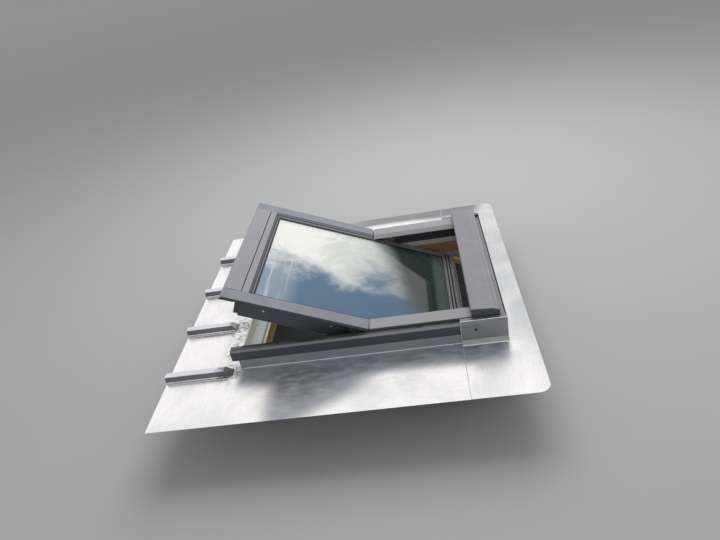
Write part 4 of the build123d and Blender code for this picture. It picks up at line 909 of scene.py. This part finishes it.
def flanked(side: int, ends: Iterable[Point]) -> list[Vector]:
    """Points of the shut sash on one of its sides, from their x, reach and height."""
    return [shut(side * x, reach, height) for x, reach, height in ends]


def aimed(place: Point, way: Point, turn: float) -> Matrix:
    """Turns what is drawn upright at the origin, points its top a way and moves it to a place."""
    facing = Vector(way).to_track_quat("Z", "Y").to_matrix().to_4x4()
    return Matrix.Translation(Vector(place)) @ facing @ Matrix.Rotation(turn, 4, "Z")


@dataclass
class Screw:
    """A pan-head screw with a cross recess, drawn upright at the origin."""

    radius: float = 3.8 * MM
    height: float = 1.7 * MM
    slot: float = 0.95 * MM

    def head(self, name: str) -> Bench:
        """The screw's head.

        Args:
            name: The piece's name.

        Returns:
            The bench with the head on it.
        """
        bench = Bench.rod(name, (0, 0, 0), (0, 0, self.height), self.radius, 24)
        bench.sink(OUT, self.radius * 0.28, self.height * 0.2).soften(self.radius * 0.1)
        reach, half = self.radius * 0.55, self.slot / 2
        for x, y in ((reach, half), (half, reach)):
            low = (-x, -y, self.height * 0.45)
            bench.carve(Bench.block("recess", low, (x, y, self.height * 2)))
        return bench.smooth()


# Sub-assemblies


class Assembly:
    """A sub-assembly with the finish of each of its CAD nodes."""

    looks: ClassVar[dict[Finish, list[str]]] = {}

    def dress(self) -> None:
        """Gives each CAD node its finish."""
        for finish, names in self.looks.items():
            for name in names:
                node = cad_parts[name]
                if not node.material_slots:
                    node.data.materials.append(finish.material())
                for slot in node.material_slots:
                    slot.material = finish.material()
                log.info("dressed %s in %s", name, finish.name)

    def build(self) -> None:
        """Adds the sub-assembly's own pieces."""
        raise NotImplementedError


@dataclass
class Collar(Assembly):
    """The zinc collar in the roof covering, with its rib covers and soldered joints."""

    rib_first: float = 420.0 * MM
    rib_pitch: float = 288.0 * MM
    rib_ends: tuple[float, ...] = mm(-526, -568, -548, -540)
    rib_foot: float = -774.0 * MM
    flange_edge: float = 27.0 * MM
    sheet: float = 1.0 * MM
    head_seam_z: float = 0.9 * MM
    joint_y: float = 322.0 * MM
    box_x: float = 406.1 * MM
    box_run: Pair = mm(2, 96)
    edge_x: float = 684.0 * MM
    bead: float = 1.3 * MM
    bead_step: float = 3.0 * MM
    spread_size: Point = mm(74, 66, 3.6)
    spread_past: float = 10.0 * MM
    spread_lumps: tuple[Pair, ...] = (mm(11, 3), mm(3.5, 1))
    hem_ends: Ends = (mm(405.2, 322.5, 97.6), mm(405.2, 484, 97.6))
    hem_radius: float = 1.1 * MM
    plug_ends: Ends = (mm(404.4, 367, 58), mm(404.4, 381, 58))
    plug_size: Pair = mm(14, 0.5)

    looks = {
        APRON_ZINC: ["flashing_apron"],
        SIDE_ZINC: both("flashing"),
        HEAD_ZINC: ["flashing_head"],
        RIB_ZINC: [f"rib_cover_{number}" for number in range(1, 5)],
    }

    def build(self) -> None:
        """Solders the ribs and the boxed corners, rolls the boxes' edges and backs their holes."""
        for name, side in SIDES:
            ends = ((side * x, y, z) for x, y, z in self.hem_ends)
            hem = Bench.rod(f"box_hem_{name}", *ends, self.hem_radius)
            hem.smooth().finish(HEM_ZINC, "frame", "zinc")
            ends = tuple((side * x, y, z) for x, y, z in self.plug_ends)
            plug = Bench.strip(f"box_plug_{name}", ends, (side, 0, 0), *self.plug_size)
            plug.soften(0.15 * MM).finish(DARK_PLASTIC, "frame", "zinc")
        for number, end in enumerate(self.rib_ends):
            x = self.rib_first - number * self.rib_pitch
            self.spread(f"rib_solder_{number + 1}", x, end)
            for _, side in SIDES:
                ends = ((x + side * self.flange_edge, y, self.sheet) for y in (self.rib_foot, end))
                self.seam(f"rib_seam_{number + 1}_{side + 2}", *ends)
        for name, side in SIDES:
            ends = ((side * x, self.joint_y, self.head_seam_z) for x in (self.box_x, self.edge_x))
            self.seam(f"sheet_seam_{name}", *ends)
            ends = ((side * self.box_x, self.joint_y, z) for z in self.box_run)
            self.seam(f"box_seam_{name}", *ends)

    def spread(self, name: str, x: float, end: float) -> None:
        """Solder run round the inner end of a rib cover.

        Args:
            name: The piece's name.
            x: The rib's place across the slope.
            end: Where it ends up the slope.
        """
        bench = Bench.add(name, "ico_sphere", self.spread_size, subdivisions=5, radius=0.5)
        bench.move(Matrix.Translation((x, end + self.spread_past, self.sheet)))
        for lump in self.spread_lumps:
            bench.roughen(*lump)
        bench.keep_above(self.sheet * 0.9).smooth(ROUND).finish(FLUX, "frame", "zinc")

    def seam(self, name: str, start: Point, end: Point) -> None:
        """A bead of solder along a joint.

        Args:
            name: The piece's name.
            start: Where it starts.
            end: Where it ends.
        """
        length = (Vector(end) - Vector(start)).length
        bench = Bench.rod(name, start, end, self.bead, 8)
        bench.slice_long(int(length / self.bead_step), length * 0.9)
        bench.roughen(0.005, self.bead * 1.6).smooth(ROUND).finish(SOLDER, "frame", "zinc")


@dataclass(frozen=True)
class Lining:
    """A strip up both sides of the frame; its size is its width, height and softened edge."""

    name: str
    place: Pair
    run: Pair
    facing: Point
    size: Point
    finish: Finish


@dataclass
class Frame(Assembly):
    """The fixed pine frame with its covers, seals and brackets."""

    bracket_face: float = 392.5 * MM
    bracket_screw_z: float = 18.0 * MM
    bracket_screw_ys: tuple[float, ...] = mm(-394, -366, 336, 364)
    bracket_screw_turn: float = 9.0
    hood_screw: Point = mm(390, 403, 115.8)
    hood_screw_turn: float = 0.4
    linings: tuple[Lining, ...] = (
        # The two dark strips are painted shade: one on the frame's inner faces in the upper half,
        # one along the side covers' flat tops.
        Lining("frame_liner", mm(349, 44), mm(92, 428), IN, mm(38, 0.8, 0.25), SHADE_ENAMEL),
        Lining("frame_board", mm(349, 13), mm(92, 428), IN, mm(24, 0.8, 0.25), WHITE_PLASTIC),
        Lining("side_pad", mm(389.4, 85.5), mm(-516, 318), OUT, mm(13.6, 0.6, 0.2), SHADE_ENAMEL),
    )
    # Painted highlights: pale rods along the hood's folds.
    crease_half: float = 388.0 * MM
    creases: tuple[Point, ...] = (mm(441, 129, 0.7), mm(458.5, 122.9, 0.9))

    looks = {
        SHADED_PINE_UPSLOPE: both("frame"),
        PINE_ACROSS: ["frame_sill", "frame_head"],
        SHADED_SIDE_ENAMEL: both("side_cover"),
        ENAMEL: ["head_hood"],
        FIXED_ENAMEL: both("frame_cover"),
        LINING_ENAMEL: ["sill_cover"],
        BLACK_RUBBER: [*both("side_seal"), "head_seal"],
        TAPE_FOIL: ["head_tape"],
        GREY_RUBBER: ["sill_seal"],
        PLATED: [*both("frame_track"), "lock_strike", *both("bracket_sill"), *both("bracket_head")],
        WHITE_PLASTIC: ["bolt_bushes"],
    }

    def build(self) -> None:
        """Lays the linings and creases and screws the brackets and the hood on."""
        for name, side in SIDES:
            for lining in self.linings:
                x, z = lining.place
                ends = tuple((side * x, y, z) for y in lining.run)
                up = (side * lining.facing[0], 0, lining.facing[2])
                strip = Bench.strip(f"{lining.name}_{name}", ends, up, *lining.size[:2])
                strip.soften(lining.size[2]).finish(lining.finish, "frame", "cladding")
        # Painted highlights along the hood's folds.
        for number, (y, z, radius) in enumerate(self.creases, 1):
            ends = ((x, y, z) for x in (-self.crease_half, self.crease_half))
            rod = Bench.rod(f"hood_crease_{number}", *ends, radius)
            rod.smooth().finish(HIGHLIGHT_ENAMEL, "frame", "cladding")
        Screw(*mm(4.6, 2.2, 1.1)).head("bracket_screws").copies(
            aimed((side * self.bracket_face, y, self.bracket_screw_z), (side, 0, 0),
                  y * self.bracket_screw_turn)
            for _, side in SIDES for y in self.bracket_screw_ys
        ).finish(SCREW_STEEL, "frame", "plated_steel")
        x, y, z = self.hood_screw
        Screw(*mm(3.4, 1.5, 0.9)).head("hood_screws").copies(
            aimed((side * x, y, z), (side, 0, 0), self.hood_screw_turn) for _, side in SIDES
        ).finish(DARK_PLASTIC, "frame", "plated_steel")


@dataclass(frozen=True)
class Line:
    """A narrow strip on a folded sheet: its width, height, finish and material slot."""

    width: float
    height: float
    finish: Finish
    slot: str = "cladding"


@dataclass
class Sash(Assembly):
    """The turning sash with its glass, covers and furniture."""

    slope_foot: Pair = mm(308, -17)
    slope_size: Pair = mm(18, 17)
    slope_start: float = 1.6 * MM
    slope_reach: float = 429.0 * MM
    # The pale lines among these are painted highlights.
    slope_lines: tuple[tuple[float, Line], ...] = (
        (0.10, Line(*mm(2.6, 0.5), BLACK_RUBBER, "rubber")),
        (0.32, Line(*mm(2.2, 0.8), HIGHLIGHT_ENAMEL)),
        (0.56, Line(*mm(2.6, 0.3), BLACK_RUBBER, "rubber")),
        (1.0, Line(*mm(1.8, 0.35), BLACK_RUBBER, "rubber")),
    )
    top_half: float = 337.0 * MM
    top_reaches: tuple[float, ...] = mm(-343, -349, -357, -363, -371)
    # The pale lines among these are painted highlights.
    top_lines: tuple[tuple[float, Line], ...] = (
        (-14.6 * MM, Line(*mm(2.0, 0.3), HIGHLIGHT_ENAMEL)),
        (-17.0 * MM, Line(*mm(5.5, 0.3), BLACK_RUBBER, "rubber")),
    )
    well_place: Point = mm(299, -411.5, -30.5)
    well_line: Line = Line(*mm(34.0, 0.4), BLACK_RUBBER, "rubber")
    # The pale line among these is a painted highlight along the leg's bottom edge.
    hem_lines: tuple[tuple[float, Line], ...] = (
        (-92.6 * MM, Line(*mm(5.0, 1.2), SHADE_ENAMEL)),
        (-95.4 * MM, Line(*mm(1.2, 1.2), HIGHLIGHT_ENAMEL)),
    )
    hem_run: Pair = mm(84.2, 472.3)
    wood_face: float = 344.0 * MM
    screws: Ends = (mm(345.2, 130, -53), mm(345.2, 383, -53))
    screw_turn: float = 7.0
    tape_ends: Ends = (mm(344, 475.3, -85.5), mm(344.7, 472.7, -14.5))
    plate_ends: Ends = (mm(344, 83.8, -95), mm(344.9, -83.8, -14.5))
    hole_run: Pair = mm(-10.9, 10.9)
    hole_radius: float = 81.5 * MM

    looks = {
        PINE_SASH: both("sash_stile"),
        PINE_SASH_ACROSS: ["sash_bottom_rail", "sash_top_rail", "sash_vent_rail"],
        SASH_ENAMEL: both("sash_cover"),
        BOTTOM_ENAMEL: ["sash_bottom_cover", "sash_bottom_bead"],
        ENAMEL: [*both("sash_trim"), "sash_top_cover"],
        OUTER_PANE: ["outer_pane"],
        INNER_PANE: ["inner_pane"],
        SPACER_METAL: ["glass_spacer"],
        BLACK_RUBBER: ["glazing_gasket"],
        FOAM: ["vent_filter"],
        PLATED: [*both("sash_track"), "cover_screws", "lock_case", "bolt_case"],
        WHITE_PLASTIC: ["flap_brackets"],
    }

    def build(self) -> None:
        """Makes the screws and lines on the covers, and the plates and tapes behind them."""
        Screw().head("cover_screw_heads").copies(
            sash_place() @ aimed(place, (side, 0, 0), -place.y * self.screw_turn)
            for _, side in SIDES for place in flanked(side, self.screws)
        ).finish(SCREW_STEEL, "sash", "plated_steel", ("cover_screws",))
        for name, side in SIDES:
            face = side * self.wood_face
            plate = Bench.block(f"hinge_plate_{name}", *flanked(side, self.plate_ends))
            past = (shut(face + past, 0, 0) for past in self.hole_run)
            plate.carve(Bench.rod("hole", *past, self.hole_radius, 96)).soften(0.25 * MM)
            plate.move(sash_place()).finish(SHADE_ENAMEL, "sash", "cladding")
            tape = Bench.block(f"seam_tape_{name}", *flanked(side, self.tape_ends))
            tape.soften(0.2 * MM).move(sash_place()).finish(BLACK_RUBBER, "sash", "rubber")
            for number, (height, line) in enumerate(self.hem_lines, 1):
                ends = tuple(shut(face, reach, height) for reach in self.hem_run)
                self.lay(f"leg_hem_{name}_{number}", ends, (side, 0, 0), line)
        self.steps()
        for number, reach in enumerate(self.top_reaches):
            height, line = self.top_lines[number % 2]
            self.across(f"top_line_{number + 1}", (self.top_half, reach, height), OUT, line)
        self.across("top_well_mat", self.well_place, OUT, self.well_line)

    def steps(self) -> None:
        """Lays the lines down the slopes of the covers round the glass."""
        (foot_x, foot_height), (wide, tall) = self.slope_foot, self.slope_size
        for number, (place, line) in enumerate(self.slope_lines, 1):
            x, height = foot_x + wide * place, foot_height + tall * place
            reach = self.slope_reach + wide * place
            flat = place == 1.0
            for name, side in SIDES:
                ends = tuple(shut(side * x, end, height) for end in (self.slope_start, reach))
                up = OUT if flat else (-side * tall, 0, wide)
                self.lay(f"step_line_{name}_{number}", ends, up, line)
            up = OUT if flat else (0, tall, wide)
            self.across(f"step_line_bottom_{number}", (x, reach, height), up, line)

    def across(self, name: str, end: Point, up: Point, line: Line) -> None:
        """Lays a line across the shut sash to an end given as x, reach and height."""
        x, reach, height = end
        self.lay(name, (shut(-x, reach, height), shut(x, reach, height)), up, line)

    @staticmethod
    def lay(name: str, ends: Ends, up: Point, line: Line) -> None:
        """Lays a line between two ends on the shut sash, where the surface faces up."""
        strip = Bench.strip(name, ends, up, line.width, line.height).soften(line.height * 0.3, 1)
        strip.move(sash_place()).finish(line.finish, "sash", line.slot)


@dataclass
class Fittings(Assembly):
    """What moves on its own: hinge sliders, flap with its bar, latch and bolt."""

    flap_open: float = math.radians(35.0)
    axis: Pair = mm(-420, -103)
    flap_ends: Ends = (mm(285, -411, -97.7), mm(288, -372.6, -108.3))
    flap_sink: Pair = mm(1.6, -0.8)
    bar_ends: Ends = (mm(277, -381, -128.5), mm(283, -381, -128.5))
    bar_size: Pair = mm(10.7, 6.2)
    bar_sink: Pair = mm(2.0, 1.2)

    looks = {
        PLATED: [*both("hinge_slider"), "lock_latch", "barrel_bolt"],
        PINE_SASH_ACROSS: ["vent_flap"],
        BAR_METAL: ["control_bar"],
    }

    def place(self) -> Matrix:
        """Turns what is drawn on the shut flap to its pose at rest."""
        axis = Matrix.Translation(shut(0.0, *self.axis))
        return sash_place() @ axis @ Matrix.Rotation(self.flap_open, 4, "X") @ axis.inverted()

    def close(self, cap: Bench, side: int, sink: Pair, edge: float, finish: Finish) -> None:
        """Sinks the face of a cap on a side, softens its edges and finishes it."""
        cap.sink((side, 0, 0), *sink).soften(edge).smooth().move(self.place())
        cap.finish(finish, "vent_flap", "bush_plastic")

    def build(self) -> None:
        """Caps the ends of the flap and of its bar."""
        for name, side in SIDES:
            cap = Bench.block(f"flap_cap_{name}", *flanked(side, self.flap_ends))
            self.close(cap, side, self.flap_sink, 0.6 * MM, WHITE_PLASTIC)
            start, end = flanked(side, self.bar_ends)
            cap = Bench.rod(f"bar_cap_{name}", start, end, 1.0, 32)
            centre = (start + end) / 2
            flatten = Matrix.Diagonal((1.0, *self.bar_size, 1.0))
            cap.move(Matrix.Translation(centre) @ flatten @ Matrix.Translation(-centre))
            self.close(cap, side, self.bar_sink, 0.8 * MM, DARK_PLASTIC)


@dataclass
class Studio:
    """Floor, soft light and camera."""

    eye: Point = (2.1032, 0.2731, 1.3743)
    right: Point = (-0.0411, 0.9828, -0.1802)
    up: Point = (-0.5225, 0.1326, 0.8422)
    back: Point = (0.8516, 0.1288, 0.5081)
    lens: float = 30.0
    sensor: float = 36.0
    sight: float = 200.0
    floor_gap: float = 0.001
    floor_size: float = 60.0
    floor_tones: Tones = ((0.50, 0.502, 0.505), (0.515, 0.517, 0.52))
    # Painted shade on the floor under the window: the dark room seen through the opening, and a
    # deeper contact shadow.
    dark_tone: Colour = (0.05, 0.055, 0.06)
    dark_width: Pair = (-0.67, 0.44)
    dark_run: Pair = (-0.60, 0.48)
    dark_soft: float = 0.12
    world_strength: float = 0.42
    sky_strength: float = 1.0
    seen_strength: float = 0.278
    key_power: float = 84.0
    key_size: float = 3.2
    key_place: Point = (-1.6, 0.5, 3.0)

    def build(self, lowest: float) -> None:
        """Sets the stage.

        Args:
            lowest: The height of the object's lowest point.
        """
        self.floor(lowest - self.floor_gap)
        self.world()
        self.key()
        self.camera()

    def floor(self, height: float) -> None:
        """A plain pale floor with painted shade under the opening.

        Args:
            height: Its height.
        """
        Bench.clear()
        bpy.ops.mesh.primitive_plane_add(size=self.floor_size, location=(0, 0, height))
        floor = Bench("floor").piece
        floor.data.materials.append(bpy.data.materials.new("pale floor"))
        shader = Shader(floor.active_material)
        here = shader.place()
        x, y, _ = here.axes()
        tone = shader.mix(here.noise(2.0, 2.0), *self.floor_tones)
        # Painted shade under the window.
        under = x.band(*self.dark_width, self.dark_soft) * y.band(*self.dark_run, self.dark_soft)
        shader.surface(shader.mix(under, tone, self.dark_tone), 0.9)
        floor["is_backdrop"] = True

    def world(self) -> None:
        """An even pale surround with a strength of its own in gloss and to the camera."""
        world = bpy.data.worlds.new("studio")
        bpy.context.scene.world = world
        shader = Shader(world)
        level = self.world_strength
        for ray, strength in (("Glossy", self.sky_strength), ("Camera", self.seen_strength)):
            seen = shader.node("LightPath", output=f"Is {ray} Ray")
            inputs = {"Value": seen, "To Min": level, "To Max": strength}
            level = shader.node("MapRange", inputs=inputs)
        inputs = {"Color": (1.0, 1.0, 1.0, 1.0), "Strength": level}
        shader.show(shader.node("Background", inputs=inputs), "World")

    def key(self) -> None:
        """One large soft lamp overhead."""
        lamp = bpy.data.lights.new("key", "AREA")
        lamp.energy = self.key_power
        lamp.size = self.key_size
        holder = bpy.data.objects.new("key", lamp)
        holder.location = self.key_place
        holder.rotation_euler = (-Vector(self.key_place)).to_track_quat("-Z", "Y").to_euler()
        holder.visible_glossy = False
        bpy.context.scene.collection.objects.link(holder)

    def camera(self) -> None:
        """A camera at the photograph's viewing angle."""
        lens = bpy.data.cameras.new("camera")
        lens.lens = self.lens
        lens.sensor_width = self.sensor
        lens.sensor_fit = "HORIZONTAL"
        lens.clip_end = self.sight
        camera = bpy.data.objects.new("camera", lens)
        turn = Matrix((self.right, self.up, self.back)).transposed().to_4x4()
        camera.matrix_world = Matrix.Translation(self.eye) @ turn
        bpy.context.scene.collection.objects.link(camera)
        bpy.context.scene.camera = camera


def corners(box: object) -> list[list[float]]:
    """The two corners of a box as plain lists."""
    return [list(corner) for corner in box]


def main() -> None:
    """Builds the scene in order and reports each piece."""
    cad_box = corners(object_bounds())
    bpy.context.scene.view_settings.view_transform = "Standard"
    for assembly in (Collar(), Frame(), Sash(), Fittings()):
        assembly.dress()
        assembly.build()
    Studio().build(cad_box[0][2])


if __name__ == "__main__":
    main()
